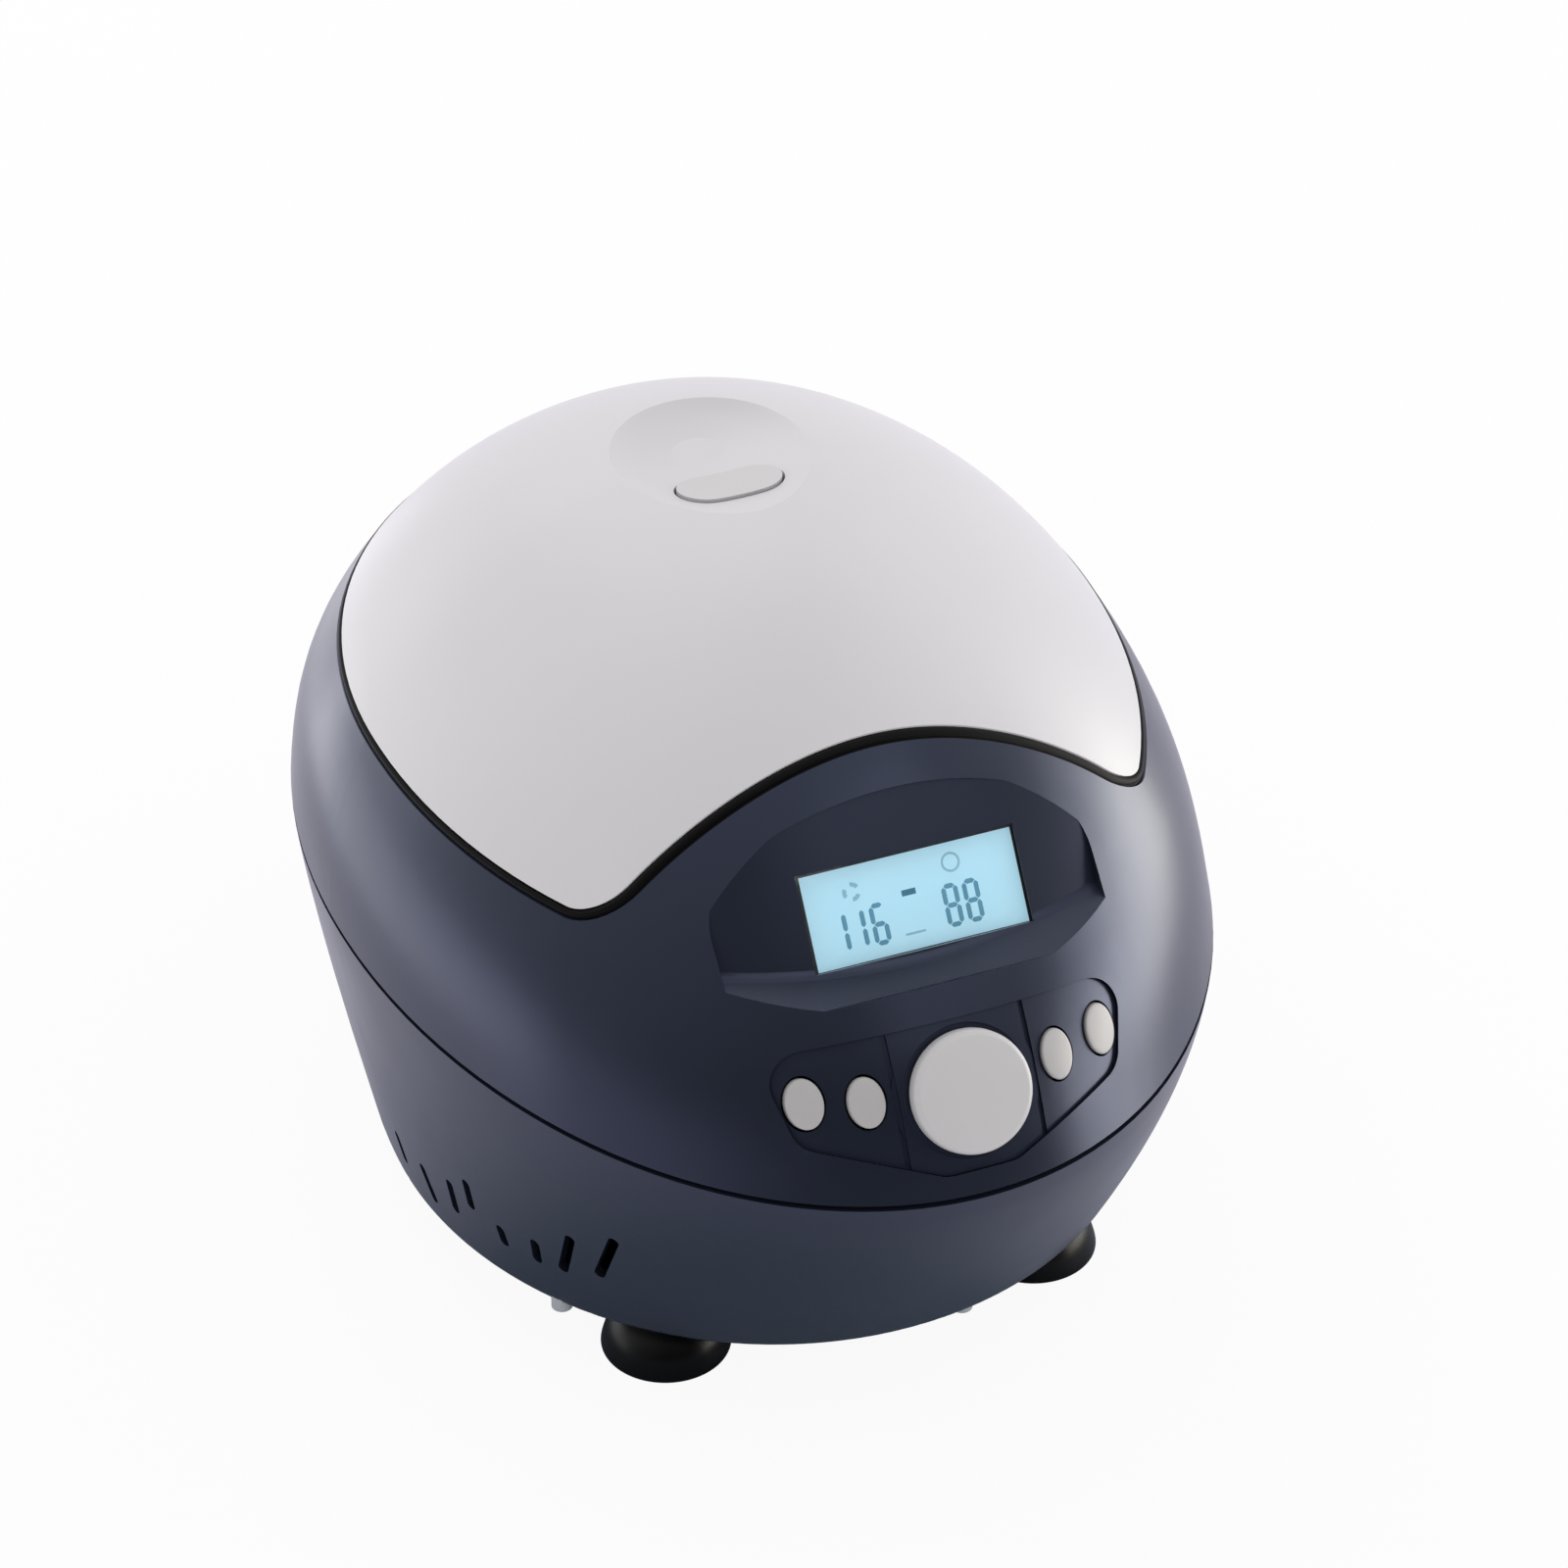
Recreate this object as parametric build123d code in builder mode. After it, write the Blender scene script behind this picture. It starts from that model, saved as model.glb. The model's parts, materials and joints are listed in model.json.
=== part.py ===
"""High-speed bench centrifuge with an egg-shaped case, a hinged lid and a twelve-place rotor.

Millimetres. +X is the right side, the front with the controls faces -Y, +Z is up.
The origin is on the table, under the middle of the case.
"""
from build123d import *
from math import cos, radians, sin, sqrt
import os

# Case: an egg in plan, widest at the waist where the two housings part
WAIST_Z = 88.0
HALF_WIDTH = 98.0
FRONT_REACH = 142.0
BACK_REACH = 132.0
WAIST_STATION_Y = 5.0
BASE_Z = 17.5
BASE_STATION_Y = -5.5
TOP_Z = 180.0
TOP_STATION_Y = 18.0
WALL = 2.6
FLOOR = 3.0

# Shape of the dome and of the tub: each reach shrinks as (1 - t**bulge)**(1 / roundness)
SIDE_BULGE, SIDE_ROUNDNESS = 1.98, 1.75
NOSE_BULGE, NOSE_ROUNDNESS = 1.2, 3.05
TAIL_BULGE, TAIL_ROUNDNESS = 1.2, 1.85
TUB_BULGE = 1.22
TUB_SIDE_TAPER = 0.113
TUB_NOSE_TAPER = 0.354

# Parting groove and its lip
GROOVE = 1.2
LIP_HEIGHT = 2.0
LIP_INSET = 3.8
LIP_WALL = 1.5
RIM_HEIGHT = 3.5

# Lid: everything of the dome above one level and behind one upright plane
LID_Z = 131.0
LID_FRONT_Y = -70.5
LID_CORNER = 7.0
SEAL_GAP = 2.0
SEAL_FRONT_GAP = 2.8
SEAL_THICKNESS = 1.8
SEAL_FRONT = 2.4
SEAL_SETBACK = 0.4
SEAL_WIDTH = 5.0
DECK_Z = LID_Z - SEAL_GAP
COWL_REAR_Y = LID_FRONT_Y - SEAL_FRONT_GAP

# Finger dish, a scoop that slopes down to the back, and the oblong release button in it:
# height, middle, half width and half depth of each ring of the scoop
DISH_RINGS = (
    (184.0, 20.5, 33.0, 36.5),
    (180.4, 22.0, 29.0, 31.5),
    (178.4, 23.8, 26.0, 27.3),
    (176.4, 25.5, 22.0, 22.5),
    (174.6, 27.3, 17.5, 16.8),
    (173.2, 28.5, 12.0, 10.5),
    (172.4, 29.6, 6.0, 5.0),
)
BUTTON_FLOOR_Z = 166.5
RELEASE_Y = 10.5
RELEASE_LENGTH = 24.0
RELEASE_WIDTH = 13.5
RELEASE_GAP = 0.6
RELEASE_TRAVEL = 2.0

# Display niche: a facet that leans back, with a ledge at its foot that falls to the front
FACET_TILT = 35.0
FACET_FOOT_Y = -104.4
FACET_FOOT_Z = 121.0
LEDGE_Y = -101.5
LEDGE_Z = 125.2
LEDGE_TILT = -7.0
LEDGE_FILLET = 2.8
FACET_CURVE_R = 150.0
NICHE_HALF_WIDTH = 43.5
NICHE_ARCH_R = 80.0
NICHE_ARCH_V = -38.0
NICHE_CORNER = 6.0
NICHE_SHOULDER = 18.0
DISPLAY_X = 1.2
DISPLAY_V = 17.6
DISPLAY_WIDTH = 50.0
DISPLAY_HEIGHT = 21.3
DISPLAY_RECESS = 3.0
WINDOW_THICKNESS = 1.2
WINDOW_BORDER = 3.0
MODULE_DEPTH = 5.0

# Control panel
PANEL_TILT = 32.0
PANEL_TOP = 15.5
PANEL_TOP_HALF = 41.5
PANEL_SIDE = -4.5
PANEL_SIDE_HALF = 36.5
PANEL_FOOT = -16.8
PANEL_FOOT_HALF = 8.0
PANEL_CORNER = 7.0
PANEL_SETBACK = 1.0
PANEL_GAP = 0.2
PANEL_FLANGE = 3.0
PANEL_GROOVE_X = 15.6
PANEL_GROOVE_WIDTH = 1.2
PANEL_GROOVE_DEPTH = 0.8
KNOB_Z = 108.0
KNOB_R = 13.4
KNOB_PROUD = 3.4
KNOB_WELL_R = 14.4
KNOB_WELL_DEPTH = 2.2
BUTTON_PLACES = (
    ("button_left_outer", -33.8, 4.6),
    ("button_left_inner", -21.7, 2.4),
    ("button_right_inner", 21.7, 2.4),
    ("button_right_outer", 33.8, 4.6),
)
BUTTON_WIDTH = 7.8
BUTTON_HEIGHT = 11.3
BUTTON_DEPTH = 4.5
STEM_R = 1.8
BUTTON_GAP = 0.4
BUTTON_PROUD = 0.4
BUTTON_TRAVEL = 1.0
BOARD_DEPTH = 22.0
BOARD_THICKNESS = 1.6
TACT_HEIGHT = 3.5

# Rotor chamber
ROTOR_Y = 16.0
BOWL_R = 70.0
BOWL_WALL = 1.2
BOWL_FLOOR_Z = 82.0
BOWL_CORNER = 16.0
BOWL_FLANGE_R = 76.0
BOWL_FLANGE = 0.8
GASKET_WIDTH = 3.0
GASKET_THICKNESS = 1.0
TUBE_COUNT = 12
TUBE_R = 5.6
TUBE_DEPTH = 30.0
TUBE_ANGLE = 45.0
TUBE_MOUTH_R = 37.0
TUBE_MOUTH_Z = 115.0
SHAFT_R = 4.0
SHAFT_CLEARANCE = 0.05

# Motor and chassis
CHASSIS_Z = BASE_Z + FLOOR
CHASSIS_THICKNESS = 2.0
DAMPER_PITCH = 64.0
DAMPER_R = 7.0
DAMPER_HEIGHT = 13.0
MOUNT_PLATE = 84.0
MOUNT_PLATE_THICKNESS = 3.0
MOTOR_R = 27.0
MOTOR_HEIGHT = 36.0

# Hinge at the back of the lid
HINGE_Y = 107.8
HINGE_Z = 130.2
KNUCKLE_R = 3.2
HINGE_PIN_R = 1.5
HINGE_HALF = 18.0
LEAF_HALF = 7.0
HINGE_GAP = 0.4
HINGE_PLATE = 0.9
HINGE_PLATE_Y = 95.0
HINGE_HEAD = 0.6

# Lid lock and its tongue
TONGUE_Y = -64.2
TONGUE_WIDTH = 6.8
TONGUE_THICKNESS = 3.0
TONGUE_FOOT_Z = 112.0
TONGUE_WINDOW = 4.6
BOLT_Z = 118.0
BOLT_R = 2.0
BOLT_REST_X = -3.5
BOLT_LENGTH = 24.0

# Case posts and screws
POSTS = ((-60.0, -34.0), (60.0, -34.0), (-60.0, 64.0), (60.0, 64.0))
POST_R = 5.0
POST_BORE_R = 3.4
POST_LEDGE_Z = 76.0
SCREW_R = 1.6
SCREW_HEAD_R = 3.0
SCREW_HEAD = 3.0
SCREW_TOP_Z = 100.0

# Feet and pads
FEET = ((-44.9, -62.2), (44.9, -62.2), (-44.9, 80.0), (44.9, 80.0))
FOOT_R = 14.8
FOOT_NECK_R = 7.0
STUD_FOOT_Z = 12.5
STUD_TOP_Z = 27.0
NUT_R = 3.9
NUT_HEIGHT = 3.2
STUD_R = 2.0
PADS = ((-68.5, -59.5), (68.5, -59.5), (14.0, -93.0), (-14.0, 104.0))
PAD_R = 2.4
PAD_HEIGHT = 1.6

# Rear connection panel
REAR_HALF_WIDTH = 27.0
REAR_BOTTOM_Z = 29.0
REAR_TOP_Z = 67.0
REAR_FACE_Y = 110.0
REAR_PLATE = 2.4
REAR_RIM = 2.2
REAR_GAP = 0.2
REAR_FLANGE = 4.0
REAR_FLANGE_THICKNESS = 1.8
INLET_X = -10.0
INLET_Z = 48.0
INLET_WIDTH = 24.0
INLET_HEIGHT = 16.4
SWITCH_X = 15.0
SWITCH_Z = 54.0
SWITCH_WIDTH = 14.0
SWITCH_HEIGHT = 19.0
FUSE_Z = 38.0
ROCKER_TILT = 12.0
ROCKER_Y = 105.0
BEZEL = 1.6

# Cooling fan
FAN_X = -60.0
FAN_Y = 6.0
FAN_Z = 42.5
FAN_SIZE = 40.0
FAN_DEPTH = 10.0

os.makedirs("parts", exist_ok=True)


def save(piece, name):
    """Label a finished piece and write its file."""
    piece.label = name
    export_step(piece, f"parts/{name}.step")


def dome_ring(z, inset=0.0):
    """Half width, front reach, back reach and widest station of the dome at height z."""
    t = (z - WAIST_Z) / (TOP_Z - inset - WAIST_Z)
    side = (1 - t**SIDE_BULGE) ** (1 / SIDE_ROUNDNESS)
    nose = (1 - t**NOSE_BULGE) ** (1 / NOSE_ROUNDNESS)
    tail = (1 - t**TAIL_BULGE) ** (1 / TAIL_ROUNDNESS)
    station = WAIST_STATION_Y + (TOP_STATION_Y - WAIST_STATION_Y) * t
    return (
        (HALF_WIDTH - inset) * side,
        (FRONT_REACH - inset) * nose,
        (BACK_REACH - inset) * tail,
        station,
    )


def tub_ring(z, inset=0.0):
    """The same four values for the tub below the waist."""
    t = (WAIST_Z - z) / (WAIST_Z - BASE_Z)
    shrink = t**TUB_BULGE
    station = WAIST_STATION_Y + (BASE_STATION_Y - WAIST_STATION_Y) * t
    return (
        HALF_WIDTH * (1 - TUB_SIDE_TAPER * shrink) - inset,
        FRONT_REACH * (1 - TUB_NOSE_TAPER * shrink) - inset,
        BACK_REACH * (1 - TUB_SIDE_TAPER * shrink) - inset,
        station,
    )


def egg_face(half_width, front_reach, back_reach, station):
    """Flat face of a front and a back half ellipse that share their widest line."""
    with BuildSketch() as egg:
        with BuildLine():
            EllipticalCenterArc((0, station), half_width, back_reach, 0, arc_size=180)
            EllipticalCenterArc((0, station), half_width, front_reach, 180, arc_size=180)
        make_face()
    return egg.sketch


def dome_heights(inset):
    """Ring heights from the waist to the flat top, close together where the dome rounds over."""
    rise = TOP_Z - inset - WAIST_Z
    return [WAIST_Z + rise * sin(radians(a)) for a in (0, 12, 24, 36, 48, 59, 69, 77, 83, 87.2)]


def make_dome(inset):
    """Solid dome, drawn in by inset all round."""
    with BuildPart() as dome:
        for z in dome_heights(inset):
            with BuildSketch(Plane.XY.offset(z)):
                add(egg_face(*dome_ring(z, inset)))
        loft()
    return dome.part


def make_tub(inset, low_z, high_z):
    """Solid tub between two heights, drawn in by inset all round."""
    steps = 6
    with BuildPart() as tub:
        for i in range(steps + 1):
            z = low_z + (high_z - low_z) * i / steps
            with BuildSketch(Plane.XY.offset(z)):
                add(egg_face(*tub_ring(z, inset)))
        loft()
    return tub.part


def make_block(x_range, y_range, z_range, corner=0.0):
    """Box from its limits; corner rounds the edge along X that is low and to the front."""
    with BuildPart() as block:
        with BuildSketch(Plane.XY.offset(z_range[0])):
            with Locations(((x_range[0] + x_range[1]) / 2, (y_range[0] + y_range[1]) / 2)):
                Rectangle(x_range[1] - x_range[0], y_range[1] - y_range[0])
        extrude(amount=z_range[1] - z_range[0])
        if corner:
            low_edges = block.edges().filter_by(Axis.X).group_by(Axis.Z)[0]
            fillet(low_edges.sort_by(Axis.Y)[0], corner)
    return block.part


def make_cylinder(plane, radius, low, high):
    """Cylinder along the plane's normal, from low to high above the plane."""
    with BuildPart() as rod:
        with BuildSketch(plane.offset(low)):
            Circle(radius)
        extrude(amount=high - low)
    return rod.part


# Working planes
FACET_UP = Vector(0, sin(radians(FACET_TILT)), cos(radians(FACET_TILT)))
FACET_OUT = Vector(0, -cos(radians(FACET_TILT)), sin(radians(FACET_TILT)))
facet = Plane(origin=(0, FACET_FOOT_Y, FACET_FOOT_Z), x_dir=(1, 0, 0), z_dir=FACET_OUT)
ledge = Plane(
    origin=(0, LEDGE_Y, LEDGE_Z),
    x_dir=(1, 0, 0),
    z_dir=(0, sin(radians(LEDGE_TILT)), cos(radians(LEDGE_TILT))),
)
knob_station = dome_ring(KNOB_Z)
KNOB_Y = knob_station[3] - knob_station[1]
PANEL_OUT = Vector(0, -cos(radians(PANEL_TILT)), sin(radians(PANEL_TILT)))
panel = Plane(origin=(0, KNOB_Y, KNOB_Z), x_dir=(1, 0, 0), z_dir=PANEL_OUT)
front = Plane(origin=(0, 0, 0), x_dir=(1, 0, 0), z_dir=(0, -1, 0))
rotor_axis = Plane(origin=(0, ROTOR_Y, 0))

# Shared solids
FAR = 260.0
dome_outer = make_dome(0.0)
dome_inner = make_dome(WALL)
lid_zone = make_block((-FAR, FAR), (LID_FRONT_Y, FAR), (LID_Z, FAR), LID_CORNER)
lid_room = make_block(
    (-FAR, FAR), (COWL_REAR_Y, FAR), (DECK_Z, FAR), LID_CORNER + SEAL_GAP
)


def make_dish(grow):
    """Scoop of the finger dish; grow gives the outside of its wall."""
    with BuildPart() as dish:
        for z, middle_y, half_x, half_y in DISH_RINGS:
            with BuildSketch(Plane.XY.offset(z - grow)):
                with Locations((0, middle_y)):
                    Ellipse(half_x + grow, half_y + grow)
        loft()
    return dish.part


def make_niche(grow):
    """Room over the display facet and its ledge; grow gives the outside of its wall."""
    across = Plane(origin=(0, FACET_FOOT_Y, FACET_FOOT_Z), x_dir=(1, 0, 0), z_dir=FACET_UP)
    with BuildPart() as niche:
        with BuildSketch(facet.offset(-12)):
            with Locations((0, 40 - grow)):
                Rectangle(2 * (NICHE_HALF_WIDTH + grow), 80)
            with Locations((0, NICHE_ARCH_V)):
                Circle(NICHE_ARCH_R + grow, mode=Mode.INTERSECT)
            fillet(vertices().group_by(Axis.Y)[-1], NICHE_SHOULDER + grow)
            fillet(vertices().group_by(Axis.Y)[0], NICHE_CORNER + grow)
        extrude(amount=52)
        with BuildSketch(across):
            with Locations((0, FACET_CURVE_R)):
                Circle(FACET_CURVE_R - grow)
        extrude(amount=90, both=True, mode=Mode.SUBTRACT)
        with BuildSketch(ledge.offset(-grow)):
            Rectangle(200, 80)
        extrude(amount=-60, mode=Mode.SUBTRACT)
        foot_edge = niche.edges().sort_by_distance(ledge.origin - ledge.z_dir * grow)[0]
        fillet(foot_edge, LEDGE_FILLET + grow)
    return niche.part


def make_panel_prism(grow):
    """Prism through the control panel's outline, along the panel's own normal."""
    with BuildPart() as prism:
        with BuildSketch(panel.offset(-28)):
            with BuildLine():
                Polyline(
                    (-PANEL_TOP_HALF - grow, PANEL_TOP + grow),
                    (-PANEL_SIDE_HALF - grow, PANEL_SIDE),
                    (-PANEL_FOOT_HALF, PANEL_FOOT - grow),
                    (PANEL_FOOT_HALF, PANEL_FOOT - grow),
                    (PANEL_SIDE_HALF + grow, PANEL_SIDE),
                    (PANEL_TOP_HALF + grow, PANEL_TOP + grow),
                    close=True,
                )
            make_face()
            fillet(vertices(), PANEL_CORNER)
        extrude(amount=50)
    return prism.part


dish_tool = make_dish(0.0)
dish_wall = make_dish(WALL)
niche_tool = make_niche(0.0)
niche_wall = make_niche(WALL)



def tub_side(y, z):
    """Half width of the tub at the point y, z of its front part, and the level direction along its wall."""
    half_width, front_reach, _, station = tub_ring(z)
    share = (y - station) / front_reach
    wall_x = half_width * sqrt(1 - share**2)
    return wall_x, Vector(-share * half_width, sqrt(1 - share**2) * front_reach, 0).normalized()


# Lower housing: tub with floor, posts, vent slots, a rim and the lip of the parting groove
# Upper and lower end of each vent slot, as y and z
VENT_SLOTS = (
    (-10.2, 34.5, -12.0, 26.5),
    (-23.5, 35.0, -26.0, 25.0),
    (-36.4, 40.0, -36.3, 29.5),
    (-44.4, 46.0, -44.2, 36.5),
    (-52.4, 37.5, -52.6, 31.0),
    (-62.7, 40.5, -62.0, 32.0),
    (-73.9, 50.0, -69.5, 33.5),
    (-85.3, 57.0, -79.6, 38.0),
)
SLOT_WIDTH = 2.6
RIM_TOP_Z = WAIST_Z - GROOVE / 2
tub_void = make_tub(WALL, CHASSIS_Z, RIM_TOP_Z - RIM_HEIGHT)
table = Plane.XY
with BuildPart() as tub_skin:
    add(make_tub(0.0, BASE_Z, RIM_TOP_Z))
    fillet(tub_skin.faces().sort_by(Axis.Z)[0].edges(), 3.0)
with BuildPart() as lower_housing:
    add(tub_skin.part)
    add(tub_void, mode=Mode.SUBTRACT)
    with BuildSketch(table.offset(RIM_TOP_Z - RIM_HEIGHT)):
        add(egg_face(*tub_ring(WAIST_Z, LIP_INSET + LIP_WALL)))
    extrude(amount=RIM_HEIGHT, mode=Mode.SUBTRACT)
    with BuildSketch(table.offset(RIM_TOP_Z - 0.5)):
        add(egg_face(*tub_ring(WAIST_Z, LIP_INSET)))
        add(egg_face(*tub_ring(WAIST_Z, LIP_INSET + LIP_WALL)), mode=Mode.SUBTRACT)
    extrude(amount=LIP_HEIGHT + GROOVE / 2 + 0.5)
    with BuildSketch(table.offset(CHASSIS_Z - 0.5)):
        with Locations(*POSTS):
            Circle(POST_R)
    extrude(amount=WAIST_Z - CHASSIS_Z + 0.5)
    with BuildSketch(table):
        with Locations(*POSTS):
            Circle(SCREW_R + 0.1)
    extrude(amount=WAIST_Z + 1, mode=Mode.SUBTRACT)
    with BuildSketch(table):
        with Locations(*POSTS):
            Circle(POST_BORE_R)
    extrude(amount=POST_LEDGE_Z, mode=Mode.SUBTRACT)
    with BuildSketch(table):
        with Locations(*FEET):
            Circle(STUD_R + 0.2)
    extrude(amount=CHASSIS_Z + 1, mode=Mode.SUBTRACT)
    for top_y, top_z, low_y, low_z in VENT_SLOTS:
        middle_z = (top_z + low_z) / 2
        middle_y = (top_y + low_y) / 2
        wall_x, lean = tub_side(middle_y, middle_z)
        for hand in (-1, 1):
            across = Plane(
                origin=(hand * wall_x, middle_y, middle_z),
                x_dir=(hand * lean.X, lean.Y, 0),
                z_dir=(lean.Y, -hand * lean.X, 0),
            )
            reach = (top_y - low_y) / 2 / lean.Y
            with BuildSketch(across):
                SlotCenterPoint((0, 0), (reach, (top_z - low_z - SLOT_WIDTH) / 2), SLOT_WIDTH)
            extrude(amount=9, both=True, mode=Mode.SUBTRACT)
    add(
        make_block(
            (-REAR_HALF_WIDTH, REAR_HALF_WIDTH), (95, 150), (REAR_BOTTOM_Z, REAR_TOP_Z)
        ),
        mode=Mode.SUBTRACT,
    )
save(lower_housing.part, "lower_housing")

# Feet, their studs and the small pads
FOOT_PROFILE = (
    (0.0, BASE_Z),
    (FOOT_NECK_R, BASE_Z),
    (FOOT_NECK_R, 13.0),
    (9.0, 10.0),
    (12.8, 6.0),
    (14.5, 2.0),
    (FOOT_R, 0.0),
    (14.0, 0.0),
    (13.0, 1.4),
    (9.5, 6.0),
    (5.5, 9.4),
    (0.0, 10.6),
)


def make_foot(x, y):
    """Rubber suction foot, turned about its own upright axis, with a blind hole for the stud."""
    upright = Plane(origin=(x, y, 0), x_dir=(1, 0, 0), z_dir=(0, -1, 0))
    with BuildPart() as foot:
        with BuildSketch(upright):
            with BuildLine():
                Polyline(*FOOT_PROFILE, close=True)
            make_face()
        revolve(axis=Axis((x, y, 0), (0, 0, 1)))
        with BuildSketch(table.offset(STUD_FOOT_Z)):
            with Locations((x, y)):
                Circle(STUD_R + 0.02)
        extrude(amount=10, mode=Mode.SUBTRACT)
    return foot.part


with BuildPart() as foot_front_left:
    add(make_foot(*FEET[0]))
save(foot_front_left.part, "foot_front_left")
with BuildPart() as foot_front_right:
    add(make_foot(*FEET[1]))
save(foot_front_right.part, "foot_front_right")
with BuildPart() as foot_rear_left:
    add(make_foot(*FEET[2]))
save(foot_rear_left.part, "foot_rear_left")
with BuildPart() as foot_rear_right:
    add(make_foot(*FEET[3]))
save(foot_rear_right.part, "foot_rear_right")

with BuildPart() as foot_studs:
    with BuildSketch(table.offset(STUD_FOOT_Z)):
        with Locations(*FEET):
            Circle(STUD_R)
    extrude(amount=STUD_TOP_Z - STUD_FOOT_Z)
    with BuildSketch(table.offset(CHASSIS_Z + CHASSIS_THICKNESS)):
        with Locations(*FEET):
            RegularPolygon(NUT_R, 6)
    extrude(amount=NUT_HEIGHT)
save(foot_studs.part, "foot_studs")

with BuildPart() as base_pads:
    with BuildSketch(table.offset(BASE_Z - PAD_HEIGHT)):
        with Locations(*PADS):
            Circle(PAD_R)
    extrude(amount=PAD_HEIGHT + 2.0)
    add(tub_skin.part, mode=Mode.SUBTRACT)
save(base_pads.part, "base_pads")

# Chassis plate on the floor of the tub
with BuildPart() as chassis_plate:
    with BuildSketch(table.offset(CHASSIS_Z)):
        add(egg_face(*tub_ring(CHASSIS_Z, 6.0)))
        with Locations(*POSTS):
            Circle(POST_R + 0.8, mode=Mode.SUBTRACT)
        with Locations(*FEET):
            Circle(STUD_R + 0.2, mode=Mode.SUBTRACT)
    extrude(amount=CHASSIS_THICKNESS)
save(chassis_plate.part, "chassis_plate")
DECK_FLOOR_Z = CHASSIS_Z + CHASSIS_THICKNESS

# Drive: rubber dampers, mounting plate, motor, its screws and the shaft
MOUNT_Z = DECK_FLOOR_Z + DAMPER_HEIGHT
MOTOR_Z = MOUNT_Z + MOUNT_PLATE_THICKNESS
MOTOR_SCREW_PITCH = 36.0
MOTOR_SCREW_R = 2.0
with BuildPart() as motor_dampers:
    with BuildSketch(table.offset(DECK_FLOOR_Z)):
        with Locations((0, ROTOR_Y)):
            with GridLocations(DAMPER_PITCH, DAMPER_PITCH, 2, 2):
                Circle(DAMPER_R)
    extrude(amount=DAMPER_HEIGHT)
save(motor_dampers.part, "motor_dampers")

with BuildPart() as motor_mount_plate:
    with BuildSketch(table.offset(MOUNT_Z)):
        with Locations((0, ROTOR_Y)):
            RectangleRounded(MOUNT_PLATE, MOUNT_PLATE, 8)
            with GridLocations(MOTOR_SCREW_PITCH, MOTOR_SCREW_PITCH, 2, 2):
                Circle(MOTOR_SCREW_R + 0.1, mode=Mode.SUBTRACT)
    extrude(amount=MOUNT_PLATE_THICKNESS)
save(motor_mount_plate.part, "motor_mount_plate")

with BuildPart() as motor_body:
    with BuildSketch(table.offset(MOTOR_Z)):
        with Locations((0, ROTOR_Y)):
            Circle(MOTOR_R)
    extrude(amount=MOTOR_HEIGHT)
    fillet(motor_body.edges().group_by(Axis.Z)[-1], 2.5)
    add(make_cylinder(rotor_axis, 10.0, MOTOR_Z + MOTOR_HEIGHT - 1, MOTOR_Z + MOTOR_HEIGHT + 4))
    add(
        make_cylinder(rotor_axis, SHAFT_R + SHAFT_CLEARANCE, MOTOR_Z + 22, BOWL_FLOOR_Z + 10),
        mode=Mode.SUBTRACT,
    )
    with BuildSketch(table.offset(MOTOR_Z)):
        with Locations((0, ROTOR_Y)):
            with GridLocations(MOTOR_SCREW_PITCH, MOTOR_SCREW_PITCH, 2, 2):
                Circle(MOTOR_SCREW_R + 0.02)
    extrude(amount=10, mode=Mode.SUBTRACT)
save(motor_body.part, "motor_body")

with BuildPart() as motor_screws:
    with BuildSketch(table.offset(MOUNT_Z)):
        with Locations((0, ROTOR_Y)):
            with GridLocations(MOTOR_SCREW_PITCH, MOTOR_SCREW_PITCH, 2, 2):
                Circle(MOTOR_SCREW_R)
    extrude(amount=MOUNT_PLATE_THICKNESS + 9)
    with BuildSketch(table.offset(MOUNT_Z)):
        with Locations((0, ROTOR_Y)):
            with GridLocations(MOTOR_SCREW_PITCH, MOTOR_SCREW_PITCH, 2, 2):
                Circle(3.5)
    extrude(amount=-2.2)
save(motor_screws.part, "motor_screws")

# Rotor with its tube bores, the nut on top, and the shaft
SHAFT_FOOT_Z = MOTOR_Z + 24
ROTOR_HUB_Z = 108.0
NUT_TOP_Z = 118.0
SHAFT_TOP_Z = 112.0
with BuildPart() as motor_shaft:
    add(make_cylinder(rotor_axis, SHAFT_R, SHAFT_FOOT_Z, SHAFT_TOP_Z))
    chamfer(motor_shaft.edges().group_by(Axis.Z)[-1], 0.6)
save(motor_shaft.part, "motor_shaft")

ROTOR_PROFILE = (
    (SHAFT_R + 0.02, 86.0),
    (54.0, 86.0),
    (65.5, 97.0),
    (65.5, 102.0),
    (49.0, 121.0),
    (43.0, 121.0),
    (25.0, 103.0),
    (13.0, 103.0),
    (13.0, ROTOR_HUB_Z),
    (SHAFT_R + 0.02, ROTOR_HUB_Z),
)
upright_rotor = Plane(origin=(0, ROTOR_Y, 0), x_dir=(1, 0, 0), z_dir=(0, -1, 0))
turning_axis = Axis((0, ROTOR_Y, 0), (0, 0, 1))
with BuildPart() as rotor:
    with BuildSketch(upright_rotor):
        with BuildLine():
            Polyline(*ROTOR_PROFILE, close=True)
        make_face()
    revolve(axis=turning_axis)
    for i in range(TUBE_COUNT):
        turn = radians(360 * i / TUBE_COUNT)
        outward = (cos(turn), sin(turn))
        tilt_in = sin(radians(TUBE_ANGLE))
        mouth = Plane(
            origin=(
                TUBE_MOUTH_R * outward[0],
                ROTOR_Y + TUBE_MOUTH_R * outward[1],
                TUBE_MOUTH_Z,
            ),
            z_dir=(-outward[0] * tilt_in, -outward[1] * tilt_in, cos(radians(TUBE_ANGLE))),
        )
        add(make_cylinder(mouth, TUBE_R, -TUBE_DEPTH, 6), mode=Mode.SUBTRACT)
save(rotor.part, "rotor")

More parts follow.
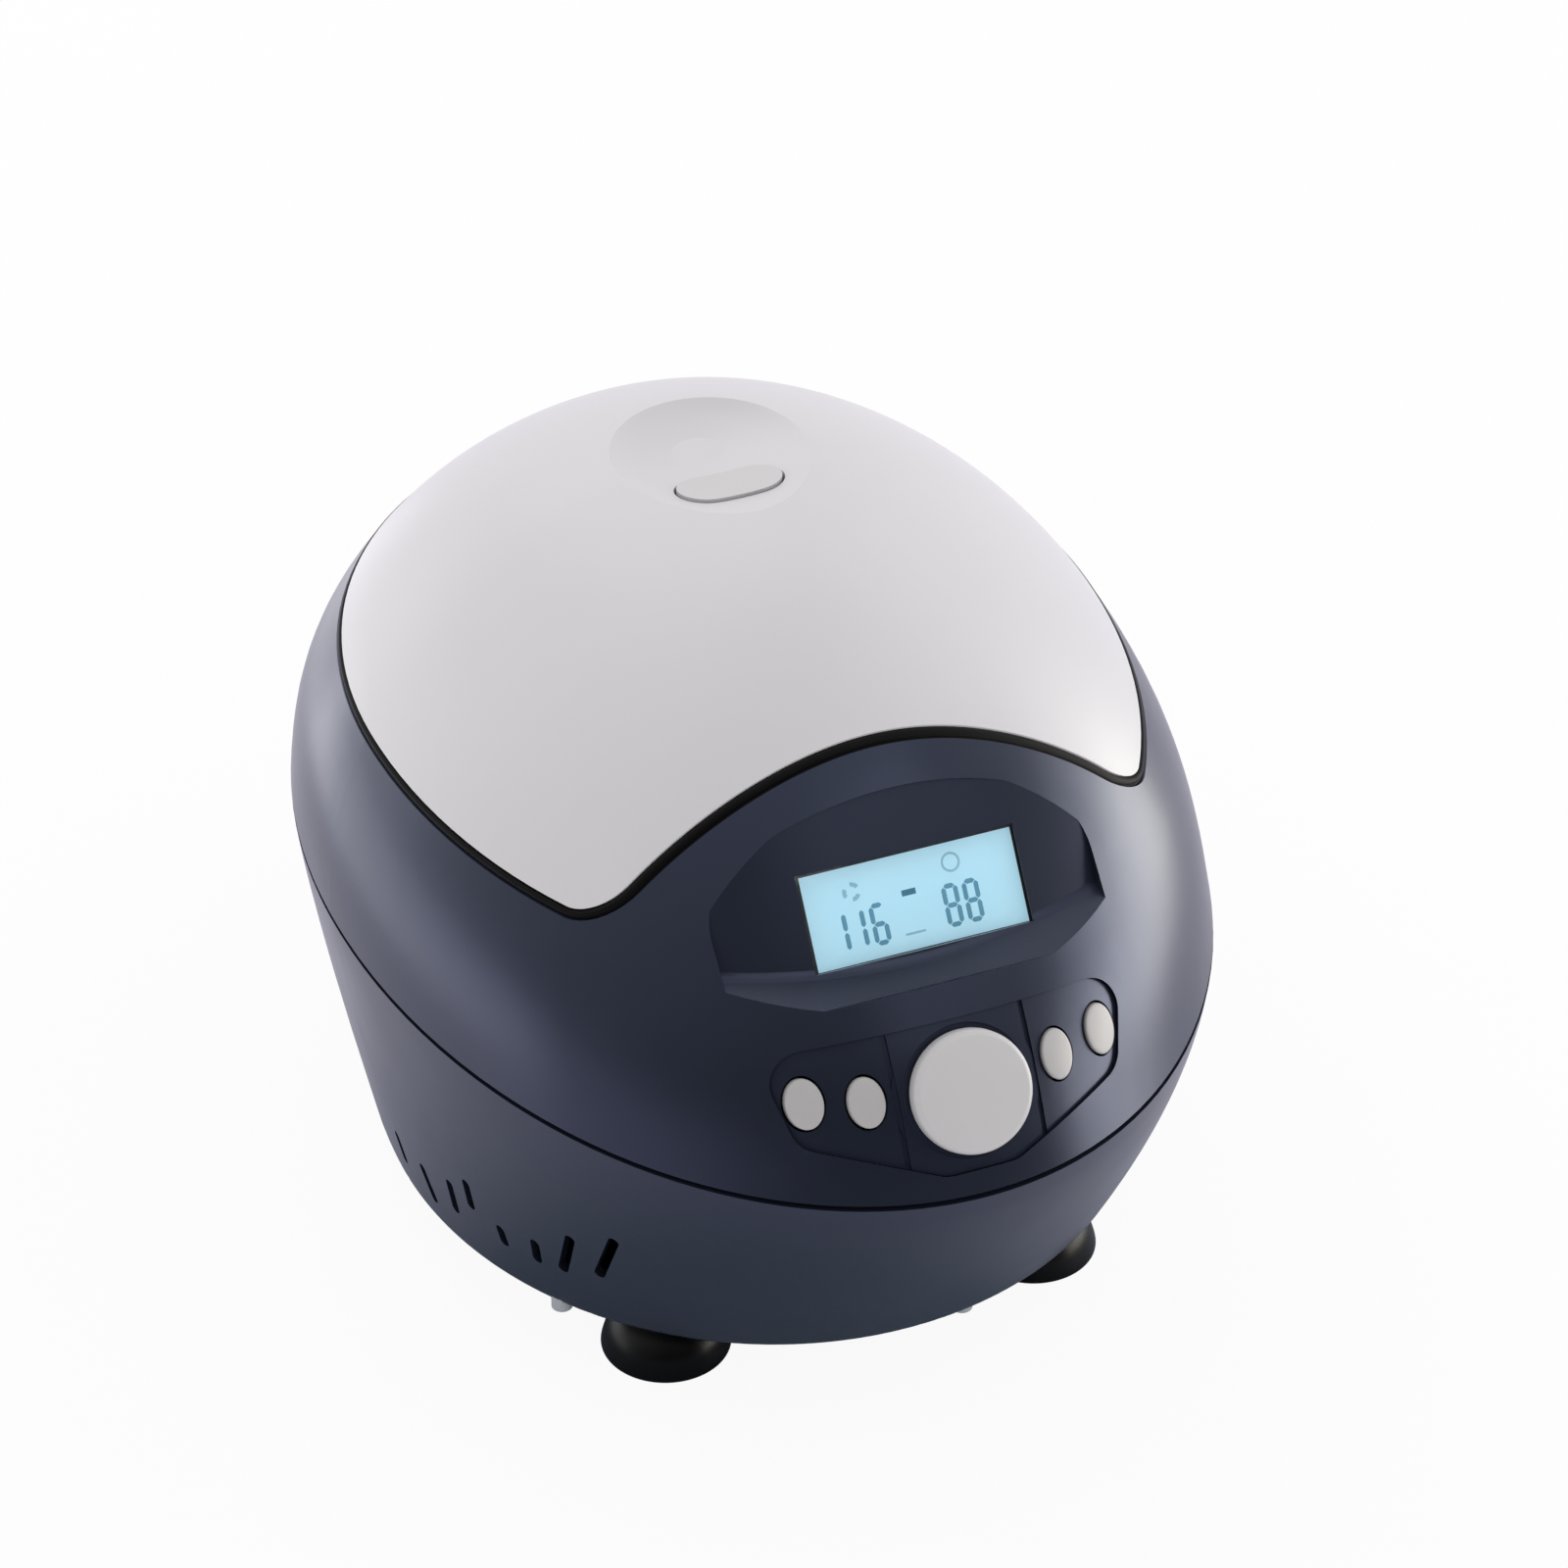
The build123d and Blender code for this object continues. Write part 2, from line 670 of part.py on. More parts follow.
with BuildPart() as rotor_nut:
    add(make_cylinder(rotor_axis, 12.0, ROTOR_HUB_Z, NUT_TOP_Z))
    fillet(rotor_nut.edges().group_by(Axis.Z)[-1], 1.5)
    add(make_cylinder(rotor_axis, SHAFT_R + 0.02, ROTOR_HUB_Z, SHAFT_TOP_Z), mode=Mode.SUBTRACT)
save(rotor_nut.part, "rotor_nut")

# Chamber: spun metal bowl hung from the deck, with a rubber ring on its flange
bowl_outer_r = BOWL_R + BOWL_WALL
with BuildPart() as chamber_bowl:
    add(make_cylinder(rotor_axis, bowl_outer_r, BOWL_FLOOR_Z, DECK_Z + BOWL_FLANGE))
    fillet(chamber_bowl.edges().group_by(Axis.Z)[0], BOWL_CORNER)
    add(make_cylinder(rotor_axis, BOWL_FLANGE_R, DECK_Z, DECK_Z + BOWL_FLANGE))
    with BuildPart(mode=Mode.SUBTRACT) as bowl_room:
        add(make_cylinder(rotor_axis, BOWL_R, BOWL_FLOOR_Z + BOWL_WALL, DECK_Z + 10))
        fillet(bowl_room.edges().group_by(Axis.Z)[0], BOWL_CORNER - BOWL_WALL)
    add(make_cylinder(rotor_axis, 12.0, BOWL_FLOOR_Z - 1, BOWL_FLOOR_Z + 5), mode=Mode.SUBTRACT)
save(chamber_bowl.part, "chamber_bowl")

with BuildPart() as chamber_gasket:
    with BuildSketch(rotor_axis.offset(DECK_Z + BOWL_FLANGE)):
        Circle(BOWL_FLANGE_R)
        Circle(BOWL_FLANGE_R - GASKET_WIDTH, mode=Mode.SUBTRACT)
    extrude(amount=GASKET_THICKNESS)
save(chamber_gasket.part, "chamber_gasket")

# Upper housing: dome shell with cowl, niche, deck and posts
deck_walls = make_block(
    (-FAR, FAR),
    (COWL_REAR_Y - WALL, FAR),
    (DECK_Z - WALL, FAR),
    LID_CORNER + SEAL_GAP + WALL,
)
skirt = make_block((-FAR, FAR), (-FAR, FAR), (60, WAIST_Z + GROOVE / 2))
hinge_axis = Plane(origin=(0, HINGE_Y, HINGE_Z), z_dir=(1, 0, 0))
hinge_relief = make_cylinder(
    hinge_axis, KNUCKLE_R + HINGE_GAP, -HINGE_HALF - 0.4, HINGE_HALF + 0.4
)
BASE_SCREWS = ((-11.0, 101.0), (11.0, 101.0))
LEAF_SCREWS = ((-14.5, 98.2), (14.5, 98.2))
HINGE_SCREW_R = 1.2
HINGE_SCREW_HEAD_R = 2.2
with BuildPart() as upper_void:
    add(dome_inner)
    add(deck_walls, mode=Mode.SUBTRACT)
    add(niche_wall, mode=Mode.SUBTRACT)
with BuildPart() as upper_housing:
    add(dome_outer)
    add(lid_room, mode=Mode.SUBTRACT)
    add(niche_tool, mode=Mode.SUBTRACT)
    add(upper_void.part, mode=Mode.SUBTRACT)
    add(skirt, mode=Mode.SUBTRACT)
    add(make_panel_prism(PANEL_GAP), mode=Mode.SUBTRACT)
    add(make_cylinder(rotor_axis, bowl_outer_r + 0.6, 110, 140), mode=Mode.SUBTRACT)
    add(hinge_relief, mode=Mode.SUBTRACT)
    add(
        make_block(
            (-TONGUE_THICKNESS / 2 - 0.6, TONGUE_THICKNESS / 2 + 0.6),
            (TONGUE_Y - TONGUE_WIDTH / 2 - 2.0, TONGUE_Y + TONGUE_WIDTH / 2 + 0.5),
            (120, 135),
        ),
        mode=Mode.SUBTRACT,
    )
    with BuildSketch(facet.offset(-8)):
        with Locations((DISPLAY_X, DISPLAY_V)):
            Rectangle(DISPLAY_WIDTH, DISPLAY_HEIGHT)
    extrude(amount=14, mode=Mode.SUBTRACT)
    with BuildSketch(facet.offset(-DISPLAY_RECESS)):
        with Locations((DISPLAY_X, DISPLAY_V)):
            Rectangle(
                DISPLAY_WIDTH + 2 * WINDOW_BORDER + 0.4, DISPLAY_HEIGHT + 2 * WINDOW_BORDER + 0.4
            )
    extrude(amount=-4, mode=Mode.SUBTRACT)
    with BuildSketch(table.offset(WAIST_Z)):
        with Locations(*POSTS):
            Circle(POST_R)
    extrude(amount=DECK_Z - WALL / 2 - WAIST_Z)
    with BuildSketch(table.offset(WAIST_Z)):
        with Locations(*POSTS):
            Circle(SCREW_R + 0.02)
    extrude(amount=SCREW_TOP_Z + 2 - WAIST_Z, mode=Mode.SUBTRACT)
    with BuildSketch(table.offset(DECK_Z - 10)):
        with Locations(*BASE_SCREWS):
            Circle(HINGE_SCREW_R + 0.02)
    extrude(amount=12, mode=Mode.SUBTRACT)
save(upper_housing.part, "upper_housing")

with BuildPart() as case_screws:
    with BuildSketch(table.offset(POST_LEDGE_Z)):
        with Locations(*POSTS):
            Circle(SCREW_R)
    extrude(amount=SCREW_TOP_Z - POST_LEDGE_Z)
    with BuildSketch(table.offset(POST_LEDGE_Z - SCREW_HEAD)):
        with Locations(*POSTS):
            Circle(SCREW_HEAD_R)
    extrude(amount=SCREW_HEAD)
save(case_screws.part, "case_screws")

# Display: clear window behind the facet and the module behind the window
with BuildPart() as display_window:
    with BuildSketch(facet.offset(-DISPLAY_RECESS - WINDOW_THICKNESS)):
        with Locations((DISPLAY_X, DISPLAY_V)):
            Rectangle(DISPLAY_WIDTH + 2 * WINDOW_BORDER, DISPLAY_HEIGHT + 2 * WINDOW_BORDER)
    extrude(amount=WINDOW_THICKNESS)
save(display_window.part, "display_window")

with BuildPart() as display_module:
    with BuildSketch(facet.offset(-DISPLAY_RECESS - WINDOW_THICKNESS)):
        with Locations((DISPLAY_X, DISPLAY_V)):
            Rectangle(DISPLAY_WIDTH + 4, DISPLAY_HEIGHT + 4)
    extrude(amount=-MODULE_DEPTH)
save(display_module.part, "display_module")

# Control panel: a piece of the dome skin with a flange behind the housing wall
panel_skin = make_dome(PANEL_SETBACK)
with BuildPart() as panel_flange:
    add(dome_inner)
    add(make_dome(WALL + 1.5), mode=Mode.SUBTRACT)
    add(make_panel_prism(PANEL_FLANGE), mode=Mode.INTERSECT)
    add(make_block((-FAR, FAR), (-FAR, FAR), (60, WAIST_Z + 3.2)), mode=Mode.SUBTRACT)
    add(make_niche(WALL + 0.4), mode=Mode.SUBTRACT)
with BuildPart() as groove_ring:
    add(panel_skin)
    add(make_dome(PANEL_SETBACK + PANEL_GROOVE_DEPTH), mode=Mode.SUBTRACT)
    with BuildSketch(front.offset(60)):
        with Locations((-PANEL_GROOVE_X, 105), (PANEL_GROOVE_X, 105)):
            Rectangle(PANEL_GROOVE_WIDTH, 60)
    extrude(amount=120, mode=Mode.INTERSECT)
WELL_WALL = 2.1
BOARD_POSTS = ((-20.0, -9.5), (20.0, -9.5), (-28.4, 13.0), (28.4, 13.0))
with BuildPart() as panel_backing:
    add(make_cylinder(panel, KNOB_WELL_R + WELL_WALL, -KNOB_WELL_DEPTH - 3.2, 4))
    with BuildSketch(panel.offset(-BOARD_DEPTH)):
        with Locations(*BOARD_POSTS):
            Circle(2.2)
    extrude(amount=BOARD_DEPTH + 2)
    add(make_dome(PANEL_SETBACK + 0.4), mode=Mode.INTERSECT)
    add(make_panel_prism(0.0), mode=Mode.INTERSECT)
with BuildPart() as control_panel:
    add(panel_skin)
    add(dome_inner, mode=Mode.SUBTRACT)
    add(make_panel_prism(0.0), mode=Mode.INTERSECT)
    add(panel_flange.part)
    add(groove_ring.part, mode=Mode.SUBTRACT)
    add(panel_backing.part)
    add(make_cylinder(panel, KNOB_WELL_R, -KNOB_WELL_DEPTH, 10), mode=Mode.SUBTRACT)
    add(make_cylinder(panel, 3.8, -12, 0), mode=Mode.SUBTRACT)
    with BuildSketch(panel.offset(-18)):
        for _, button_x, button_v in BUTTON_PLACES:
            with Locations((button_x, button_v)):
                Ellipse(BUTTON_WIDTH / 2 + BUTTON_GAP, BUTTON_HEIGHT / 2 + BUTTON_GAP)
    extrude(amount=24, mode=Mode.SUBTRACT)
save(control_panel.part, "control_panel")

# Push buttons: oval caps with the curve of the dome on top and a stem behind
button_skin = make_dome(-BUTTON_PROUD)
STEM_END = -(BOARD_DEPTH - TACT_HEIGHT - BUTTON_TRAVEL - 0.2)


def skin_level(x, v):
    """Height of the dome surface above the panel plane at the panel point x, v."""
    low, high = -40.0, 10.0
    while high - low > 0.001:
        level = (low + high) / 2
        point = panel.origin + Vector(x, 0, 0) + panel.y_dir * v + PANEL_OUT * level
        half_width, front_reach, _, station = dome_ring(point.Z)
        inside = (point.X / half_width) ** 2 + ((point.Y - station) / front_reach) ** 2 < 1
        low, high = (level, high) if inside else (low, level)
    return low


def make_button(x, v):
    """One button at the panel point x, v."""
    cap_level = skin_level(x, v) - BUTTON_DEPTH
    with BuildPart() as button:
        with BuildSketch(panel.offset(cap_level)):
            with Locations((x, v)):
                Ellipse(BUTTON_WIDTH / 2, BUTTON_HEIGHT / 2)
        extrude(amount=14)
        add(button_skin, mode=Mode.INTERSECT)
        with BuildSketch(panel.offset(STEM_END)):
            with Locations((x, v)):
                Circle(STEM_R)
        extrude(amount=cap_level - STEM_END + 0.5)
    return button.part


with BuildPart() as button_left_outer:
    add(make_button(*BUTTON_PLACES[0][1:]))
save(button_left_outer.part, "button_left_outer")
with BuildPart() as button_left_inner:
    add(make_button(*BUTTON_PLACES[1][1:]))
save(button_left_inner.part, "button_left_inner")
with BuildPart() as button_right_inner:
    add(make_button(*BUTTON_PLACES[2][1:]))
save(button_right_inner.part, "button_right_inner")
with BuildPart() as button_right_outer:
    add(make_button(*BUTTON_PLACES[3][1:]))
save(button_right_outer.part, "button_right_outer")

# Board behind the panel with its switches and the encoder of the knob
BOARD_V = 1.5
with BuildPart() as keypad_board:
    with BuildSketch(panel.offset(-BOARD_DEPTH)):
        with Locations((0, BOARD_V)):
            RectangleRounded(78, 28, 2)
    extrude(amount=-BOARD_THICKNESS)
save(keypad_board.part, "keypad_board")

with BuildPart() as tact_switches:
    with BuildSketch(panel.offset(-BOARD_DEPTH)):
        for _, button_x, button_v in BUTTON_PLACES:
            with Locations((button_x, button_v)):
                Rectangle(6, 6)
    extrude(amount=TACT_HEIGHT)
save(tact_switches.part, "tact_switches")

ENCODER_SHAFT_R = 3.0
ENCODER_TOP = -BOARD_DEPTH + 6.5
SHAFT_END = 1.8
with BuildPart() as encoder_body:
    with BuildSketch(panel.offset(-BOARD_DEPTH)):
        Rectangle(13, 12)
    extrude(amount=6.5)
    add(make_cylinder(panel, 4.5, ENCODER_TOP - 0.5, -KNOB_WELL_DEPTH - 3.2))
    add(make_cylinder(panel, ENCODER_SHAFT_R + 0.05, ENCODER_TOP - 3, 0), mode=Mode.SUBTRACT)
save(encoder_body.part, "encoder_body")

with BuildPart() as encoder_shaft:
    add(make_cylinder(panel, ENCODER_SHAFT_R, ENCODER_TOP - 2.8, SHAFT_END))
save(encoder_shaft.part, "encoder_shaft")

with BuildPart() as knob:
    add(make_cylinder(panel, KNOB_R, 0.5 - KNOB_WELL_DEPTH, KNOB_PROUD))
    knob_top = knob.edges().filter_by(GeomType.CIRCLE).sort_by(lambda e: e.center().dot(PANEL_OUT))[-1]
    fillet(knob_top, 1.4)
    add(make_cylinder(panel, ENCODER_SHAFT_R + 0.02, -4, SHAFT_END), mode=Mode.SUBTRACT)
save(knob.part, "knob")

# Lid: shell with the finger dish, liner, seal and tongue
lid_inside = make_block((-FAR, FAR), (LID_FRONT_Y + WALL, FAR), (60, FAR))
LINER_TOP_Z = LID_Z + 3.0
with BuildPart() as lid_void:
    add(dome_inner)
    add(lid_inside, mode=Mode.INTERSECT)
    add(dish_wall, mode=Mode.SUBTRACT)


def release_outline(grow):
    """Oblong outline of the release button."""
    with BuildSketch(table.offset(BUTTON_FLOOR_Z)) as outline:
        with Locations((0, RELEASE_Y)):
            SlotOverall(RELEASE_LENGTH + 2 * grow, RELEASE_WIDTH + 2 * grow)
    return outline.sketch


with BuildPart() as lid_shell:
    add(dome_outer)
    add(lid_zone, mode=Mode.INTERSECT)
    add(dish_tool, mode=Mode.SUBTRACT)
    add(lid_void.part, mode=Mode.SUBTRACT)
    add(release_outline(RELEASE_GAP))
    extrude(amount=30, mode=Mode.SUBTRACT)
    add(hinge_relief, mode=Mode.SUBTRACT)
save(lid_shell.part, "lid_shell")

LINER_POSTS = ((-50.0, -25.0), (50.0, -25.0), (-48.0, 60.0), (48.0, 60.0))
TONGUE_PLATE_Z = LINER_TOP_Z + 2.0
tongue_y_range = (TONGUE_Y - TONGUE_WIDTH / 2, TONGUE_Y + TONGUE_WIDTH / 2)
with BuildPart() as lid_liner:
    with BuildSketch(table.offset(LID_Z)):
        Rectangle(2 * FAR, 2 * FAR)
    extrude(amount=LINER_TOP_Z - LID_Z)
    with BuildSketch(table.offset(LINER_TOP_Z - 0.5)):
        with Locations(*LINER_POSTS):
            Circle(3.5)
    extrude(amount=60)
    add(lid_void.part, mode=Mode.INTERSECT)
    add(lid_zone, mode=Mode.INTERSECT)
    add(
        make_block(
            (-TONGUE_THICKNESS / 2 - 0.1, TONGUE_THICKNESS / 2 + 0.1),
            (tongue_y_range[0] - 0.6, tongue_y_range[1] + 0.1),
            (120, LINER_TOP_Z + 1),
        ),
        mode=Mode.SUBTRACT,
    )
    with BuildSketch(table.offset(LID_Z - 1)):
        with Locations(*LEAF_SCREWS):
            Circle(HINGE_SCREW_R + 0.02)
    extrude(amount=6, mode=Mode.SUBTRACT)
    add(hinge_relief, mode=Mode.SUBTRACT)
save(lid_liner.part, "lid_liner")

with BuildPart() as lid_tongue:
    add(
        make_block(
            (-TONGUE_THICKNESS / 2, TONGUE_THICKNESS / 2),
            tongue_y_range,
            (TONGUE_FOOT_Z, TONGUE_PLATE_Z),
        )
    )
    add(make_block((-8, 8), (tongue_y_range[0], tongue_y_range[1] + 3), (LINER_TOP_Z, TONGUE_PLATE_Z)))
    add(
        make_block(
            (-5, 5),
            (TONGUE_Y - TONGUE_WINDOW / 2, TONGUE_Y + TONGUE_WINDOW / 2),
            (BOLT_Z - TONGUE_WINDOW / 2, BOLT_Z + TONGUE_WINDOW / 2),
        ),
        mode=Mode.SUBTRACT,
    )
save(lid_tongue.part, "lid_tongue")

with BuildPart() as lid_seal:
    add(make_dome(SEAL_SETBACK))
    add(make_dome(SEAL_SETBACK + SEAL_WIDTH), mode=Mode.SUBTRACT)
    add(
        make_block(
            (-FAR, FAR),
            (LID_FRONT_Y - SEAL_FRONT, FAR),
            (LID_Z - SEAL_THICKNESS, FAR),
            LID_CORNER + SEAL_THICKNESS,
        ),
        mode=Mode.INTERSECT,
    )
    add(lid_zone, mode=Mode.SUBTRACT)
    add(
        make_block((-HINGE_HALF - 0.6, HINGE_HALF + 0.6), (HINGE_PLATE_Y - 0.6, FAR), (120, 140)),
        mode=Mode.SUBTRACT,
    )
    add(make_block((-FAR, FAR), (HINGE_Y + 0.2, FAR), (120, 140)), mode=Mode.SUBTRACT)
save(lid_seal.part, "lid_seal")

# Release button in the dish, its spring, the bracket below and the switch
BRACKET_TOP_Z = 154.0
BRACKET_Z = 152.0
STEM_FOOT_Z = 150.0
release_axis = Plane(origin=(0, RELEASE_Y, 0))
with BuildPart() as release_button:
    add(release_outline(0.0))
    extrude(amount=30)
    add(dome_outer, mode=Mode.INTERSECT)
    add(make_dish(-0.6), mode=Mode.SUBTRACT)
    add(make_cylinder(release_axis, 3.0, STEM_FOOT_Z, BUTTON_FLOOR_Z + 1))
save(release_button.part, "release_button")

with BuildPart() as release_bracket:
    add(make_block((-20, 20), (RELEASE_Y - 9, RELEASE_Y + 9), (BRACKET_Z, BRACKET_TOP_Z)))
    with BuildSketch(table.offset(BRACKET_TOP_Z - 0.5)):
        with Locations((-17.5, RELEASE_Y), (17.5, RELEASE_Y)):
            Circle(2.4)
    extrude(amount=40)
    add(lid_void.part, mode=Mode.INTERSECT)
    add(make_cylinder(release_axis, 3.4, BRACKET_Z - 1, BRACKET_TOP_Z + 1), mode=Mode.SUBTRACT)
save(release_bracket.part, "release_bracket")

SPRING_R = 4.6
SPRING_WIRE_R = 0.45
with BuildPart() as release_spring:
    with BuildLine(Plane(origin=(0, RELEASE_Y, BRACKET_TOP_Z + SPRING_WIRE_R))) as coil:
        Helix(pitch=2.9, height=BUTTON_FLOOR_Z - BRACKET_TOP_Z - 2 * SPRING_WIRE_R, radius=SPRING_R)
    with BuildSketch(Plane(origin=coil.line @ 0, z_dir=coil.line % 0)):
        Circle(SPRING_WIRE_R)
    sweep(is_frenet=True)
save(release_spring.part, "release_spring")

with BuildPart() as release_switch:
    add(make_block((-8, 8), (RELEASE_Y - 6, RELEASE_Y + 6), (BRACKET_Z - 13, BRACKET_Z)))
    add(
        make_cylinder(release_axis, 3.6, STEM_FOOT_Z - RELEASE_TRAVEL - 0.4, BRACKET_Z),
        mode=Mode.SUBTRACT,
    )
save(release_switch.part, "release_switch")

# Hinge: base on the deck, leaf under the lid, pin and screws
PLATE_TOP_Z = DECK_Z + HINGE_PLATE
LEAF_FOOT_Z = LID_Z - HINGE_PLATE
HEAD_SEAT_Z = PLATE_TOP_Z - HINGE_HEAD
LEAF_REAR_Y = HINGE_Y - KNUCKLE_R - HINGE_GAP
base_knuckle_x = (LEAF_HALF + HINGE_GAP, HINGE_HALF)
with BuildPart() as hinge_base:
    add(make_block((-HINGE_HALF, HINGE_HALF), (HINGE_PLATE_Y, HINGE_Y - 2.0), (DECK_Z, PLATE_TOP_Z)))
    add(
        make_cylinder(hinge_axis, KNUCKLE_R + HINGE_GAP, -base_knuckle_x[0], base_knuckle_x[0]),
        mode=Mode.SUBTRACT,
    )
    for x_range in (base_knuckle_x, (-base_knuckle_x[1], -base_knuckle_x[0])):
        add(make_cylinder(hinge_axis, KNUCKLE_R, *x_range))
    add(
        make_cylinder(hinge_axis, HINGE_PIN_R + 0.01, -HINGE_HALF, HINGE_HALF),
        mode=Mode.SUBTRACT,
    )
    with BuildSketch(table.offset(DECK_Z - 1)):
        with Locations(*BASE_SCREWS):
            Circle(HINGE_SCREW_R + 0.05)
    extrude(amount=6, mode=Mode.SUBTRACT)
    with BuildSketch(table.offset(HEAD_SEAT_Z)):
        with Locations(*BASE_SCREWS):
            Circle(HINGE_SCREW_HEAD_R + 0.1)
    extrude(amount=6, mode=Mode.SUBTRACT)
save(hinge_base.part, "hinge_base")

with BuildPart() as hinge_leaf:
    add(make_block((-HINGE_HALF, HINGE_HALF), (HINGE_PLATE_Y, LEAF_REAR_Y), (LEAF_FOOT_Z, LID_Z)))
    add(make_block((-LEAF_HALF, LEAF_HALF), (HINGE_PLATE_Y, HINGE_Y), (LEAF_FOOT_Z, LID_Z)))
    add(make_cylinder(hinge_axis, KNUCKLE_R, -LEAF_HALF, LEAF_HALF))
    add(
        make_cylinder(hinge_axis, HINGE_PIN_R + 0.05, -LEAF_HALF, LEAF_HALF),
        mode=Mode.SUBTRACT,
    )
    with BuildSketch(table.offset(LEAF_FOOT_Z - 1)):
        with Locations(*LEAF_SCREWS):
            Circle(HINGE_SCREW_R + 0.05)
    extrude(amount=6, mode=Mode.SUBTRACT)
    with BuildSketch(table.offset(LEAF_FOOT_Z - 1)):
        with Locations(*LEAF_SCREWS):
            Circle(HINGE_SCREW_HEAD_R + 0.1)
    extrude(amount=1 + HINGE_HEAD, mode=Mode.SUBTRACT)
save(hinge_leaf.part, "hinge_leaf")

with BuildPart() as hinge_pin:
    add(make_cylinder(hinge_axis, HINGE_PIN_R, -HINGE_HALF, HINGE_HALF))
save(hinge_pin.part, "hinge_pin")

with BuildPart() as base_screws:
    with BuildSketch(table.offset(DECK_Z - 8)):
        with Locations(*BASE_SCREWS):
            Circle(HINGE_SCREW_R)
    extrude(amount=HEAD_SEAT_Z - DECK_Z + 8)
    with BuildSketch(table.offset(HEAD_SEAT_Z)):
        with Locations(*BASE_SCREWS):
            Circle(HINGE_SCREW_HEAD_R)
    extrude(amount=HINGE_HEAD)
save(base_screws.part, "base_screws")

with BuildPart() as leaf_screws:
    with BuildSketch(table.offset(LEAF_FOOT_Z)):
        with Locations(*LEAF_SCREWS):
            Circle(HINGE_SCREW_HEAD_R)
    extrude(amount=HINGE_HEAD)
    with BuildSketch(table.offset(LEAF_FOOT_Z + HINGE_HEAD)):
        with Locations(*LEAF_SCREWS):
            Circle(HINGE_SCREW_R)
    extrude(amount=HINGE_PLATE + 2.0)
save(leaf_screws.part, "leaf_screws")

# Lid lock and lid switch under the deck, either side of the tongue
bolt_line = Plane(origin=(0, TONGUE_Y, BOLT_Z), z_dir=(1, 0, 0))
lock_y_range = (TONGUE_Y - 5.5, TONGUE_Y + 5.5)
DECK_FOOT_Z = DECK_Z - WALL
with BuildPart() as lock_body:
    add(make_block((-38, -9), lock_y_range, (111, DECK_FOOT_Z)))
    add(
        make_cylinder(bolt_line, BOLT_R + 0.05, BOLT_REST_X - BOLT_LENGTH - 1, 0),
        mode=Mode.SUBTRACT,
    )
save(lock_body.part, "lock_body")

with BuildPart() as lock_bolt:
    add(make_cylinder(bolt_line, BOLT_R, BOLT_REST_X - BOLT_LENGTH, BOLT_REST_X))
    chamfer(lock_bolt.edges().group_by(Axis.X)[-1], 0.5)
save(lock_bolt.part, "lock_bolt")

with BuildPart() as lid_switch:
    add(make_block((9, 30), lock_y_range, (115, DECK_FOOT_Z)))
    add(make_cylinder(Plane(origin=(0, TONGUE_Y, 120), z_dir=(1, 0, 0)), 1.5, 5, 10))
save(lid_switch.part, "lid_switch")

# Electronics on the chassis plate
BOARD_X, BOARD_Y = (-42.0, 42.0), (-82.0, -38.0)
BOARD_Z = 32.0
with BuildPart() as board_standoffs:
    with BuildSketch(table.offset(DECK_FLOOR_Z)):
        with Locations((-36, -76), (36, -76), (-36, -44), (36, -44)):
            Circle(3)
    extrude(amount=BOARD_Z - DECK_FLOOR_Z)
save(board_standoffs.part, "board_standoffs")

with BuildPart() as control_board:
    add(make_block(BOARD_X, BOARD_Y, (BOARD_Z, BOARD_Z + BOARD_THICKNESS)))
    top_z = BOARD_Z + BOARD_THICKNESS
    add(make_block((-30, -8), (-74, -56), (top_z - 0.2, top_z + 12)))
    add(make_block((2, 16), (-68, -54), (top_z - 0.2, top_z + 2.5)))
    add(make_block((22, 36), (-72, -48), (top_z - 0.2, top_z + 9)))
save(control_board.part, "control_board")

with BuildPart() as power_supply:
    add(make_block((46, 72), (-22, 52), (DECK_FLOOR_Z, 58)))
    fillet(power_supply.edges().filter_by(Axis.Z), 1.5)
save(power_supply.part, "power_supply")

# Cooling fan by the left vent slots
fan_axis = Plane(origin=(FAN_X, FAN_Y, FAN_Z), z_dir=(1, 0, 0))
with BuildPart() as fan_frame:
    with BuildSketch(fan_axis.offset(-FAN_DEPTH / 2)):
        RectangleRounded(FAN_SIZE, FAN_SIZE, 3)
        Circle(FAN_SIZE / 2 - 1.4, mode=Mode.SUBTRACT)
    extrude(amount=FAN_DEPTH)
    with BuildSketch(fan_axis.offset(-FAN_DEPTH / 2)):
        Circle(8)
        for angle in (30, 150, 270):
            with Locations((13 * cos(radians(angle)), 13 * sin(radians(angle)))):
                Rectangle(14, 2.5, rotation=angle)
    extrude(amount=2.5)
    add(make_cylinder(fan_axis, 1.5, -FAN_DEPTH / 2 + 1, 3))
save(fan_frame.part, "fan_frame")

with BuildPart() as fan_impeller:
    add(make_cylinder(fan_axis, 7.5, -1.9, 4.2))
    for i in range(7):
        turn = Axis((FAN_X, FAN_Y, FAN_Z), (1, 0, 0))
        blade = make_block(
            (FAN_X - 1.5, FAN_X + 3.8),
            (FAN_Y - 0.5, FAN_Y + 0.5),
            (FAN_Z + 6, FAN_Z + 17.6),
        )
        pitch_axis = Axis((FAN_X + 1.2, FAN_Y, FAN_Z), (0, 0, 1))
        add(blade.rotate(pitch_axis, 24).rotate(turn, 360 * i / 7))
    add(make_cylinder(fan_axis, 1.55, -4, 3.2), mode=Mode.SUBTRACT)
save(fan_impeller.part, "fan_impeller")

